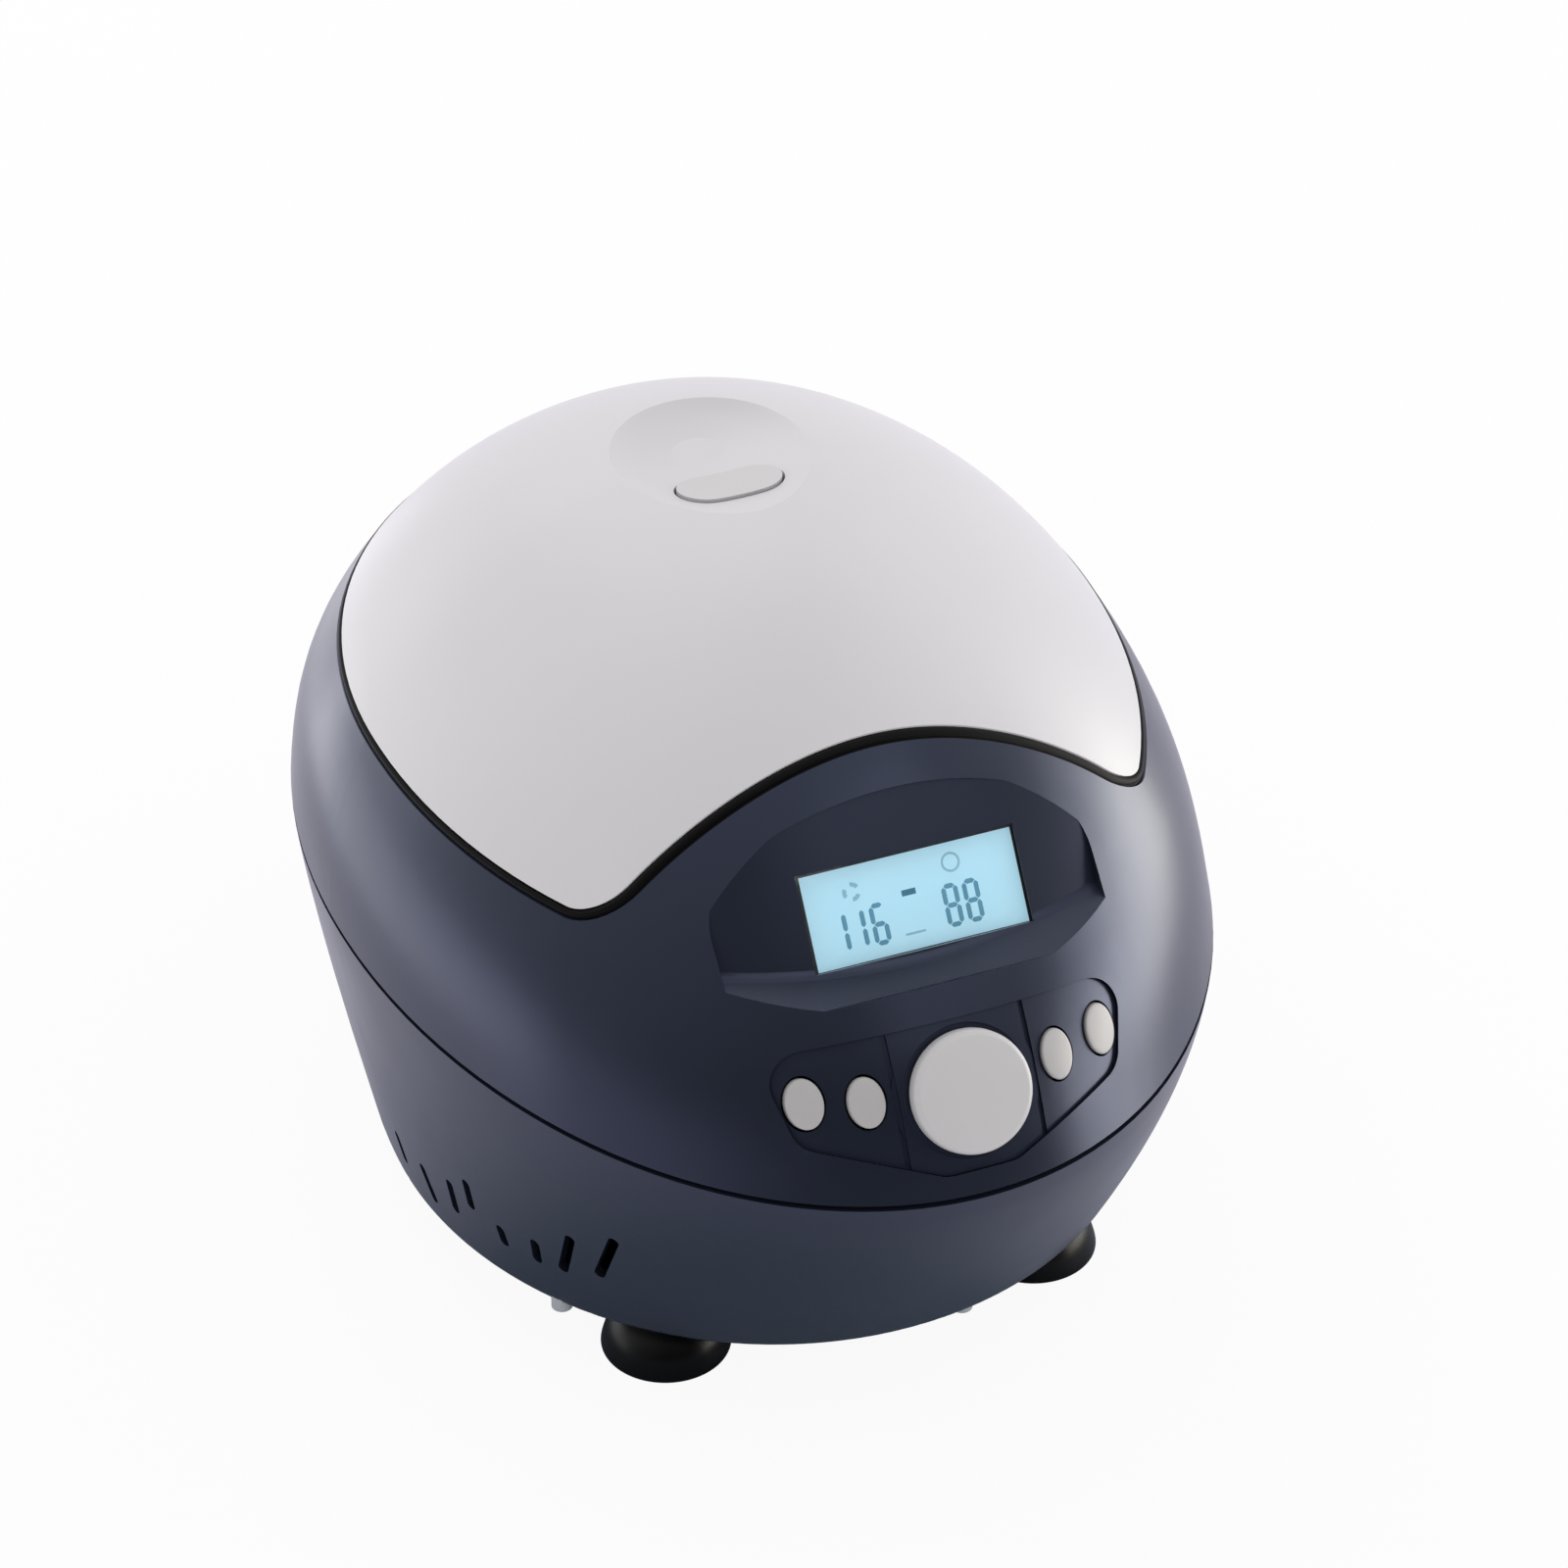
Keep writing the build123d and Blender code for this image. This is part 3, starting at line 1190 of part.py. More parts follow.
# Rear connection panel: tray let into the tub, with mains inlet, fuse and switch
OUT_Y = 150.0
inner_half = REAR_HALF_WIDTH - REAR_GAP - REAR_RIM
inner_z = (REAR_BOTTOM_Z + REAR_GAP + REAR_RIM, REAR_TOP_Z - REAR_GAP - REAR_RIM)
with BuildPart() as rear_flange:
    add(
        make_block(
            (-REAR_HALF_WIDTH - REAR_FLANGE, REAR_HALF_WIDTH + REAR_FLANGE),
            (90, OUT_Y),
            (REAR_BOTTOM_Z - REAR_FLANGE, REAR_TOP_Z + REAR_FLANGE),
        )
    )
    add(tub_void, mode=Mode.INTERSECT)
    add(
        make_tub(WALL + REAR_FLANGE_THICKNESS, CHASSIS_Z, RIM_TOP_Z - RIM_HEIGHT),
        mode=Mode.SUBTRACT,
    )
INLET_BODY = (27.4, 20.0)
SWITCH_BODY = (12.6, 17.6)
inlet_axis = Plane(origin=(INLET_X, 0, INLET_Z), x_dir=(1, 0, 0), z_dir=(0, 1, 0))
fuse_axis = Plane(origin=(SWITCH_X, 0, FUSE_Z), x_dir=(1, 0, 0), z_dir=(0, 1, 0))


def centred_block(x, z, width, height, y_range):
    """Box round a point of the rear panel."""
    return make_block((x - width / 2, x + width / 2), y_range, (z - height / 2, z + height / 2))


with BuildPart() as rear_panel:
    add(
        make_block(
            (REAR_GAP - REAR_HALF_WIDTH, REAR_HALF_WIDTH - REAR_GAP),
            (REAR_FACE_Y - REAR_PLATE, OUT_Y),
            (REAR_BOTTOM_Z + REAR_GAP, REAR_TOP_Z - REAR_GAP),
        )
    )
    add(make_tub(0.5, BASE_Z, RIM_TOP_Z), mode=Mode.INTERSECT)
    add(rear_flange.part)
    add(make_block((-inner_half, inner_half), (REAR_FACE_Y, OUT_Y), inner_z), mode=Mode.SUBTRACT)
    add(
        make_block((-inner_half, inner_half), (80, REAR_FACE_Y - REAR_PLATE), inner_z),
        mode=Mode.SUBTRACT,
    )
    add(
        centred_block(INLET_X, INLET_Z, INLET_BODY[0] + 0.2, INLET_BODY[1] + 0.2, (90, 120)),
        mode=Mode.SUBTRACT,
    )
    add(
        centred_block(SWITCH_X, SWITCH_Z, SWITCH_BODY[0] + 0.2, SWITCH_BODY[1] + 0.2, (90, 120)),
        mode=Mode.SUBTRACT,
    )
    add(make_cylinder(fuse_axis, 4.6, 90, 120), mode=Mode.SUBTRACT)
save(rear_panel.part, "rear_panel")

INLET_FACE_Y = REAR_FACE_Y + 2.0
PIN_FOOT_Y = INLET_FACE_Y - 15.0
with BuildPart() as mains_inlet:
    add(centred_block(INLET_X, INLET_Z, 28.8, 23.0, (REAR_FACE_Y, INLET_FACE_Y)))
    add(centred_block(INLET_X, INLET_Z, *INLET_BODY, (REAR_FACE_Y - 20, REAR_FACE_Y + 1)))
    add(
        centred_block(INLET_X, INLET_Z, INLET_WIDTH, INLET_HEIGHT, (PIN_FOOT_Y, INLET_FACE_Y + 1)),
        mode=Mode.SUBTRACT,
    )
    for pin_x, pin_z in ((-7, -2), (0, 2), (7, -2)):
        add(centred_block(INLET_X + pin_x, INLET_Z + pin_z, 2, 4, (PIN_FOOT_Y - 1, PIN_FOOT_Y + 9)))
save(mains_inlet.part, "mains_inlet")

with BuildPart() as fuse_holder:
    add(make_cylinder(fuse_axis, 5.4, REAR_FACE_Y, REAR_FACE_Y + 2.4))
    add(make_cylinder(fuse_axis, 4.5, REAR_FACE_Y - 18, REAR_FACE_Y + 1))
    add(centred_block(SWITCH_X, FUSE_Z, 7, 1.4, (REAR_FACE_Y + 1.4, 120)), mode=Mode.SUBTRACT)
save(fuse_holder.part, "fuse_holder")

ROCKER_HALF = 7.2
rocker_axis = Plane(origin=(SWITCH_X, ROCKER_Y, SWITCH_Z), x_dir=(0, 1, 0), z_dir=(1, 0, 0))
with BuildPart() as switch_frame:
    bezel_y = (REAR_FACE_Y, REAR_FACE_Y + BEZEL)
    add(centred_block(SWITCH_X, SWITCH_Z, SWITCH_WIDTH, SWITCH_HEIGHT, bezel_y))
    add(centred_block(SWITCH_X, SWITCH_Z, *SWITCH_BODY, (REAR_FACE_Y - 15, REAR_FACE_Y + 1)))
    add(centred_block(SWITCH_X, SWITCH_Z, 9.6, 16.6, (ROCKER_Y - 5, 120)), mode=Mode.SUBTRACT)
    add(make_cylinder(rocker_axis, 1.2, -5, 5))
save(switch_frame.part, "switch_frame")

with BuildPart() as switch_rocker:
    with BuildSketch(Plane(origin=rocker_axis.origin, x_dir=(0, 1, 0), z_dir=(1, 0, 0)).offset(-4.6)):
        with BuildLine():
            Polyline(
                (-2.0, -ROCKER_HALF),
                (5.2, -ROCKER_HALF),
                (3.6, 0.0),
                (5.2, ROCKER_HALF),
                (-2.0, ROCKER_HALF),
                close=True,
            )
        make_face()
        Circle(1.25, mode=Mode.SUBTRACT)
    extrude(amount=9.2)
    tilted = switch_rocker.part.rotate(
        Axis(rocker_axis.origin, (1, 0, 0)), ROCKER_TILT
    )
    add(tilted, mode=Mode.REPLACE)
save(switch_rocker.part, "switch_rocker")
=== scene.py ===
"""Dressing of the high-speed bench centrifuge: finishes, display, keys, seal bead, feet, light and camera.

Metres, in the same frame as the solids: +X right, -Y front, +Z up, origin on the table.
"""
import json
from math import cos, pi, radians, sin

import bmesh
import bpy
import numpy as np
from mathutils import Matrix


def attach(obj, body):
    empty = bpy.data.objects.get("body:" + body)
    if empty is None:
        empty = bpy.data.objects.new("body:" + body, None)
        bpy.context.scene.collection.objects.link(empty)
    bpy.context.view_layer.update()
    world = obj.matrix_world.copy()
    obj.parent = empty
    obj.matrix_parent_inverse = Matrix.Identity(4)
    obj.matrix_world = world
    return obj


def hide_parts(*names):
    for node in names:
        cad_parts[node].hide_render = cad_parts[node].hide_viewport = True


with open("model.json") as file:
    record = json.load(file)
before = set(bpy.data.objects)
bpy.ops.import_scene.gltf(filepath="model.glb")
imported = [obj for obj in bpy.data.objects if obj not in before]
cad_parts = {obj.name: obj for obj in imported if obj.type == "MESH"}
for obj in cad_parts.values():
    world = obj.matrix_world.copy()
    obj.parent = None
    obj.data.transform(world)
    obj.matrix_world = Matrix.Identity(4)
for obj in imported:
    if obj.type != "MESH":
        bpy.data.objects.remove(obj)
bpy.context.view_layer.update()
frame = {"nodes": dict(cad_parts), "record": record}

MM = 0.001

# The dome and the panel, from the same named values as the solids, in millimetres
WAIST_Z, TOP_Z = 88.0, 180.0
HALF_WIDTH, FRONT_REACH, BACK_REACH = 98.0, 142.0, 132.0
WAIST_STATION, TOP_STATION = 5.0, 18.0
SIDE_BULGE, SIDE_ROUNDNESS = 1.98, 1.75
NOSE_BULGE, NOSE_ROUNDNESS = 1.2, 3.05
TAIL_BULGE, TAIL_ROUNDNESS = 1.2, 1.85
PANEL_TILT, FACET_TILT = radians(32.0), radians(35.0)
KNOB_Z = 108.0

# Steps in which an interval is halved to find a place on the dome
HALVINGS = 40
# The highest share of the rise that is worked out: at 1 the ring has no size
TOP_SHARE = 0.9999


def dome_ring(z):
    """Half width, front reach, back reach and widest station at height z: each reach is its waist
    value times (1 - t**bulge)**(1 / roundness), t being the share of the rise from waist to top."""
    t = np.clip((np.asarray(z, float) - WAIST_Z) / (TOP_Z - WAIST_Z), 0.0, TOP_SHARE)
    side = (1 - t**SIDE_BULGE) ** (1 / SIDE_ROUNDNESS)
    nose = (1 - t**NOSE_BULGE) ** (1 / NOSE_ROUNDNESS)
    tail = (1 - t**TAIL_BULGE) ** (1 / TAIL_ROUNDNESS)
    station = WAIST_STATION + (TOP_STATION - WAIST_STATION) * t
    return HALF_WIDTH * side, FRONT_REACH * nose, BACK_REACH * tail, station


knob_ring = dome_ring(KNOB_Z)
PANEL_ORIGIN = np.array([0.0, float(knob_ring[3] - knob_ring[1]), KNOB_Z])
PANEL_RIGHT = np.array([1.0, 0.0, 0.0])
PANEL_OUT = np.array([0.0, -cos(PANEL_TILT), sin(PANEL_TILT)])
PANEL_UP = np.array([0.0, sin(PANEL_TILT), cos(PANEL_TILT)])
FACET_ORIGIN = np.array([0.0, -104.4, 121.0])
FACET_OUT = np.array([0.0, -cos(FACET_TILT), sin(FACET_TILT)])
FACET_UP = np.array([0.0, sin(FACET_TILT), cos(FACET_TILT)])


# Meshes

# Points of a ring nearer than this, in metres, become one
MERGE_DISTANCE = 1e-6


def mesh_of(name, points, faces):
    """A mesh from an array of points in millimetres and a list of faces."""
    mesh = bpy.data.meshes.new(name)
    mesh.from_pydata((points * MM).tolist(), [], faces)
    mesh.update()
    return mesh


def place_mesh(mesh, material, body):
    """Puts a mesh into the scene as an object of the same name, and rides it on its body."""
    made = bpy.data.objects.new(mesh.name, mesh)
    bpy.context.scene.collection.objects.link(made)
    mesh.materials.append(material)
    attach(made, body)
    return made


def round_piece(name, points, faces, material, body):
    """A smooth closed piece, with the rings at its poles merged to one point each."""
    mesh = mesh_of(name, points, faces.tolist())
    work = bmesh.new()
    work.from_mesh(mesh)
    bmesh.ops.remove_doubles(work, verts=work.verts, dist=MERGE_DISTANCE)
    work.to_mesh(mesh)
    work.free()
    mesh.update()
    mesh.shade_smooth()
    return place_mesh(mesh, material, body)


def grid_faces(rows, columns):
    """Quads between neighbouring points of a rows by columns grid whose last column joins the first."""
    r = np.arange(rows - 1)[:, None]
    c = np.arange(columns)[None, :]
    n = (c + 1) % columns
    quads = np.stack([r * columns + c, r * columns + n, (r + 1) * columns + n, (r + 1) * columns + c], -1)
    return quads.reshape(-1, 4)


def turned(profile, centre, right, up, out, steps):
    """Points of a profile of (radius, height) pairs turned about the out axis through centre:
    centre + radius * (cos a * right + sin a * up) + height * out, for a round the circle."""
    profile = np.asarray(profile, float)
    a = np.linspace(0, 2 * pi, steps, endpoint=False)
    circle = np.cos(a)[:, None] * right + np.sin(a)[:, None] * up
    points = centre + profile[:, 0, None, None] * circle[None] + profile[:, 1, None, None] * out
    return points.reshape(-1, 3), grid_faces(len(profile), steps)


def smooth_profile(knots, count):
    """Catmull-Rom curve through the knots, sampled evenly in its own parameter."""
    k = np.asarray(knots, float)
    k = np.vstack([2 * k[0] - k[1], k, 2 * k[-1] - k[-2]])
    s = np.linspace(0, len(knots) - 1 - 1e-9, count)
    i = s.astype(int)
    t = (s - i)[:, None]
    a, b, c, d = k[i], k[i + 1], k[i + 2], k[i + 3]
    return 0.5 * (2 * b + (c - a) * t + (2 * a - 5 * b + 4 * c - d) * t**2 + (3 * b - a - 3 * c + d) * t**3)


# The skin lies between these levels above the panel plane, wherever a key sits
LOWEST_SKIN, HIGHEST_SKIN = -40.0, 12.0


def skin_level(x, v):
    """Height of the dome above the panel plane at panel points x, v, found by halving an interval."""
    x, v = np.broadcast_arrays(np.asarray(x, float), np.asarray(v, float))
    low, high = np.full(x.shape, LOWEST_SKIN), np.full(x.shape, HIGHEST_SKIN)
    for _ in range(HALVINGS):
        mid = (low + high) / 2
        y = PANEL_ORIGIN[1] + v * PANEL_UP[1] + mid * PANEL_OUT[1]
        z = PANEL_ORIGIN[2] + v * PANEL_UP[2] + mid * PANEL_OUT[2]
        half_width, front, _, station = dome_ring(z)
        inside = (x / half_width) ** 2 + ((y - station) / front) ** 2 < 1
        low, high = np.where(inside, mid, low), np.where(inside, high, mid)
    return low


# Finishes

def linear(hex_colour):
    """A written sRGB colour as the linear red, green, blue and alpha that the shaders take."""
    srgb = np.array([int(hex_colour[i:i + 2], 16) for i in (1, 3, 5)]) / 255
    rgb = np.where(srgb <= 0.04045, srgb / 12.92, ((srgb + 0.055) / 1.055) ** 2.4)
    return (*rgb.tolist(), 1.0)


def node(tree, kind, settings=None, links=None):
    """Adds one shader node: settings fill its properties or sockets, links join sockets made before."""
    made = tree.nodes.new(kind)
    for key, value in (settings or {}).items():
        if isinstance(key, str) and hasattr(made, key):
            setattr(made, key, value)
        else:
            made.inputs[key].default_value = value
    for key, source in (links or {}).items():
        tree.links.new(source, made.inputs[key])
    return made


# Patterns per metre of the clouds and of the lines on metal, and how strongly the bumps bend the light
CLOUD_SCALE, LINE_SCALE = 22.0, 60.0
GRAIN_STRENGTH, LINE_STRENGTH, LINE_DEPTH_MM = 0.35, 0.25, 0.03

# Sockets of a colour mix node: its two colours, and its result
FIRST_COLOUR, SECOND_COLOUR, MIXED = 6, 7, 2


def two_tone(tree, share, first, second):
    """A colour between two, by a share that runs from 0 to 1."""
    mix = node(
        tree, "ShaderNodeMix", {"data_type": "RGBA", FIRST_COLOUR: first, SECOND_COLOUR: second},
        {0: share},
    )
    return mix.outputs[MIXED]


def noise(tree, place, scale, detail):
    """Noise over the place given, as a share from 0 to 1."""
    return node(
        tree, "ShaderNodeTexNoise", {"Scale": scale, "Detail": detail}, {"Vector": place},
    ).outputs["Fac"]


def finish(name, colour, **sockets):
    """A material of one Principled shader with its colour and sockets set, with its tree and shader."""
    material = bpy.data.materials.new(name)
    material.use_nodes = True
    shader = material.node_tree.nodes["Principled BSDF"]
    shader.inputs["Base Color"].default_value = linear(colour)
    for key, value in sockets.items():
        shader.inputs[key.replace("_", " ")].default_value = value
    return material, material.node_tree, shader


def work_surface(tree, shader, drift, rough, relief, strength, depth_mm):
    """Roughness that drifts between two values with one pattern, and a bump from another. Noise keeps
    to the middle half of its range, so that half is spread over the whole drift."""
    spread = node(
        tree, "ShaderNodeMapRange",
        {"interpolation_type": "SMOOTHSTEP", "From Min": 0.25, "From Max": 0.75,
         "To Min": rough[0], "To Max": rough[1]},
        {"Value": drift},
    )
    tree.links.new(spread.outputs["Result"], shader.inputs["Roughness"])
    bump = node(
        tree, "ShaderNodeBump", {"Strength": strength, "Distance": depth_mm * MM}, {"Height": relief},
    )
    tree.links.new(bump.outputs["Normal"], shader.inputs["Normal"])


def grained(name, colour, shade, grain_mm, depth_mm, rough, **sockets):
    """Moulded or cast surface: two close colours in soft clouds, drifting roughness and a fine grain."""
    material, tree, shader = finish(name, colour, **sockets)
    place = node(tree, "ShaderNodeTexCoord").outputs["Object"]
    clouds = noise(tree, place, CLOUD_SCALE, 3.0)
    grain = noise(tree, place, 1 / (grain_mm * MM), 2.0)
    tint = two_tone(tree, clouds, linear(colour), linear(shade))
    tree.links.new(tint, shader.inputs["Base Color"])
    work_surface(tree, shader, clouds, rough, grain, GRAIN_STRENGTH, depth_mm)
    return material


def brushed(name, colour, squeeze, rough):
    """Metal with lines left by the brush or lathe: noise squeezed along one direction, in bump and
    roughness."""
    material, tree, shader = finish(name, colour, Metallic=1.0)
    place = node(tree, "ShaderNodeTexCoord").outputs["Object"]
    squeezed = node(tree, "ShaderNodeMapping", {"Scale": squeeze}, {"Vector": place})
    lines = noise(tree, squeezed.outputs["Vector"], LINE_SCALE, 4.0)
    work_surface(tree, shader, lines, rough, lines, LINE_STRENGTH, LINE_DEPTH_MM)
    return material


# Moulded ABS, slate blue with a pearl lacquer: a lilac sheen over a near-black body. The orange peel of
# the lacquer is drawn about twice as coarse as it is, so that it shows
slate_abs = grained(
    "slate_lacquered_abs", "#1A1F2A", "#1E232E", 1.8, 0.006, (0.28, 0.33),
    Specular_IOR_Level=0.55, Specular_Tint=linear("#CAD4FF"),
)
# Moulded ABS, satin pale grey lid: soft wide highlights
lid_abs = grained(
    "pale_grey_moulded_abs", "#D3D1D4", "#D8D6D8", 0.5, 0.01, (0.34, 0.42), Specular_IOR_Level=0.35
)
# The same resin for the knob, a little darker and smoother
key_abs = grained(
    "grey_key_abs", "#CBC9CB", "#CFCDCE", 0.4, 0.008, (0.34, 0.40), Specular_IOR_Level=0.3
)
# The same resin for the push buttons, greyer
button_abs = grained(
    "grey_button_abs", "#B9B6B7", "#BEBBBB", 0.4, 0.008, (0.34, 0.40), Specular_IOR_Level=0.3
)
# Moulded EPDM rubber with a smooth black skin
black_rubber = grained(
    "black_epdm_rubber", "#040506", "#070808", 0.6, 0.01, (0.30, 0.40), Specular_IOR_Level=0.2
)
# Extruded EPDM seal, dull and deep black
seal_rubber = grained(
    "dull_epdm_seal", "#030304", "#050506", 0.6, 0.01, (0.5, 0.6), Specular_IOR_Level=0.1
)
# Moulded PBT of switches, sockets and fan: matt black with a sparkle grain
device_pbt = grained("black_moulded_pbt", "#141416", "#18181A", 0.6, 0.02, (0.42, 0.5))
# Solder mask over glass fibre
board_mask = grained("green_solder_mask", "#0E4A2A", "#125230", 0.8, 0.01, (0.28, 0.36))
# Pale nylon pads
pad_nylon = grained("pale_nylon", "#AEB2BA", "#B6B9C0", 0.6, 0.02, (0.4, 0.5))
# Printing on the display, the switch and the rotor
segment_ink = grained("blue_grey_segments", "#62A3BC", "#6AAAC1", 0.4, 0.004, (0.4, 0.5))
dash_ink = grained("dark_teal_segments", "#3F7A92", "#458098", 0.4, 0.004, (0.4, 0.5))
faint_ink = grained("faint_teal_segments", "#A2D0DF", "#A8D4E2", 0.4, 0.004, (0.4, 0.5))
mark_ink = grained("white_pad_print", "#D9DADC", "#DEDFE0", 0.4, 0.004, (0.4, 0.5))
number_ink = grained("black_laser_marking", "#2A2B2E", "#303134", 0.4, 0.004, (0.4, 0.5))
# Brushed stainless steel and turned, anodised aluminium, with lines that run level round the object
LEVEL_LINES = (1.0, 1.0, 24.0)
steel = brushed("brushed_stainless_steel", "#B9B9BA", LEVEL_LINES, (0.26, 0.36))
rotor_alloy = brushed("turned_anodised_aluminium", "#B4B7BC", LEVEL_LINES, (0.28, 0.38))


def clear_acrylic():
    """Cast acrylic window: clear, with the faint waviness of its polish in the roughness."""
    material, tree, shader = finish("clear_acrylic", "#F4FAFF", IOR=1.49, Transmission_Weight=1.0)
    place = node(tree, "ShaderNodeTexCoord").outputs["Object"]
    waves = noise(tree, place, 90.0, 2.0)
    drift = node(tree, "ShaderNodeMapRange", {"To Min": 0.01, "To Max": 0.04}, {"Value": waves})
    tree.links.new(drift.outputs["Result"], shader.inputs["Roughness"])
    return material


def backlit_panel():
    """Backlit display: pale cyan in faint clouds, that glows of itself."""
    material, tree, shader = finish("backlit_cyan_display", "#A9CBD8", Roughness=0.35)
    place = node(tree, "ShaderNodeTexCoord").outputs["Object"]
    clouds = noise(tree, place, 60.0, 2.0)
    for socket, low, high in (
        ("Base Color", "#A5C9D6", "#ADCFDB"), ("Emission Color", "#AFDAE9", "#B8E1ED"),
    ):
        tree.links.new(two_tone(tree, clouds, linear(low), linear(high)), shader.inputs[socket])
    shader.inputs["Emission Strength"].default_value = 0.45
    return material


window_acrylic = clear_acrylic()
display_glow = backlit_panel()

SLOT_FINISH = {
    "case_plastic": slate_abs, "lid_plastic": lid_abs, "key_plastic": key_abs, "black_rubber": black_rubber,
    "clear_window": window_acrylic, "lcd": device_pbt, "device_black": device_pbt, "board": board_mask,
    "pale_pad": pad_nylon, "steel": steel, "rotor_metal": rotor_alloy,
}
for part in frame["record"]["subparts"]:
    materials = frame["nodes"][part["node"]].data.materials
    materials.clear()
    materials.append(SLOT_FINISH[part["material_slot"]])
frame["nodes"]["lid_seal"].data.materials[0] = seal_rubber


# Knob: a turned cap with a soft shoulder and a slightly crowned face, in pairs of radius and height
# over the panel
KNOB_R, KNOB_SIDE, KNOB_RIM = 13.3, 1.4, 3.1
SHOULDER_IN, SHOULDER_UP = 1.5, 1.7
FACE_R, FACE_CROWN = KNOB_R - SHOULDER_IN, 0.45
knob_profile = [(0.0, -1.6), (12.6, -1.6), (13.2, -1.1), (13.35, 0.0), (KNOB_R, KNOB_SIDE)]
knob_profile += [
    (KNOB_R - SHOULDER_IN * (1 - cos(a)), KNOB_SIDE + SHOULDER_UP * sin(a))
    for a in np.linspace(0.15, pi / 2, 10)
]
knob_profile += [
    (r, KNOB_RIM + FACE_CROWN * (1 - (r / FACE_R) ** 2)) for r in (11.2, 9.5, 7.5, 5.5, 3.5, 1.6, 0.0)
]
points, faces = turned(knob_profile, PANEL_ORIGIN, PANEL_RIGHT, PANEL_UP, PANEL_OUT, 96)
knob_cap = round_piece("knob_cap", points, faces, key_abs, "knob")
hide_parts("knob")

# Push buttons: oval caps, crowned over the curve of the dome, at their places on the panel
BUTTON_PLACES = {
    "button_left_outer": (-33.8, 4.6), "button_left_inner": (-21.7, 2.4),
    "button_right_inner": (21.7, 2.4), "button_right_outer": (33.8, 4.6),
}
BUTTON_HALF_WIDTH, BUTTON_HALF_HEIGHT = 3.75, 5.5
BUTTON_STEPS = 72


def oval_cap(x, v):
    """Rings over an oval: share s of the half axes, level skin + 0.4 - 0.3 * s**2 on the face, then a
    quarter-round shoulder over the last 0.13 of the half axes, a straight side down to 3 mm below the
    skin, and the underside."""
    a = np.linspace(0, 2 * pi, BUTTON_STEPS, endpoint=False)
    turn = np.linspace(0, pi / 2, 7)
    face = np.array([0.0, 0.2, 0.4, 0.6, 0.75, 0.84])
    share = np.concatenate([face, 0.87 + 0.13 * np.sin(turn), [1.0, 1.0, 0.0]])
    rise = np.concatenate([0.4 - 0.3 * face**2, 0.16 - 0.6 * (1 - np.cos(turn)), [-1.5, -3.0, -3.0]])
    share, rise = share[:, None], rise[:, None]
    px = x + BUTTON_HALF_WIDTH * share * np.cos(a)
    pv = v + BUTTON_HALF_HEIGHT * share * np.sin(a)
    level = skin_level(px, pv) + rise
    grid = PANEL_ORIGIN + px[..., None] * PANEL_RIGHT + pv[..., None] * PANEL_UP
    grid = grid + level[..., None] * PANEL_OUT
    return grid.reshape(-1, 3), grid_faces(len(share), BUTTON_STEPS)


for button, place in BUTTON_PLACES.items():
    points, faces = oval_cap(*place)
    cap = round_piece(button + "_cap", points, faces[:, ::-1], button_abs, button)
    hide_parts(button)

# Suction feet: turned rubber cups with a neck, a flared skirt and a hollow below, in pairs of radius and
# height over the table
foot_knots = [
    (0.0, 17.4), (4.5, 17.4), (7.0, 17.0), (7.05, 15.2), (7.3, 13.2), (8.6, 11.0), (11.2, 8.6), (13.2, 5.8),
    (14.3, 2.6), (14.75, 0.6), (14.5, 0.0), (13.9, 0.3), (12.7, 2.2), (9.5, 6.0), (5.5, 9.2), (0.0, 10.4),
]
FOOT_X, FOOT_FRONT_Y, FOOT_REAR_Y = 44.9, -62.2, 80.0
FEET = {
    "foot_front_left": (-FOOT_X, FOOT_FRONT_Y), "foot_front_right": (FOOT_X, FOOT_FRONT_Y),
    "foot_rear_left": (-FOOT_X, FOOT_REAR_Y), "foot_rear_right": (FOOT_X, FOOT_REAR_Y),
}
foot_profile = smooth_profile(foot_knots, 70)
for foot, (x, y) in FEET.items():
    points, faces = turned(foot_profile, np.array([x, y, 0.0]), *np.eye(3), 72)
    cup = round_piece(foot + "_cup", points, faces[:, ::-1], black_rubber, "housing")
    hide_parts(foot)

# Lid seal: a rubber bead that fills the gap round the lid, flush with the dome, and stops at the hinge
FRONT_MIDDLE_Y, REAR_END_Y, BEAD_Z = -71.75, 107.0, 130.05
CORNER_Y, CORNER_Z = -63.5, 138.0
FRONT_HALF_BEAD, SIDE_HALF_BEAD, HALF_DEPTH, BEAD_PROUD = 1.45, 0.95, 1.0, 0.12
BEAD_STEPS, BEAD_AROUND = 240, 16


def dome_value(points):
    """Negative inside the dome, zero on its skin, positive outside."""
    half_width, front, back, station = dome_ring(points[..., 2])
    along = points[..., 1] - station
    return (points[..., 0] / half_width) ** 2 + (along / np.where(along > 0, back, front)) ** 2 - 1


def skin_normal(points):
    """Outward unit normals of the dome at points, from differences of dome_value 0.02 mm either side."""
    steps = 0.02 * np.eye(3)
    slope = np.stack([dome_value(points + step) - dome_value(points - step) for step in steps], -1)
    return slope / np.linalg.norm(slope, axis=-1, keepdims=True)


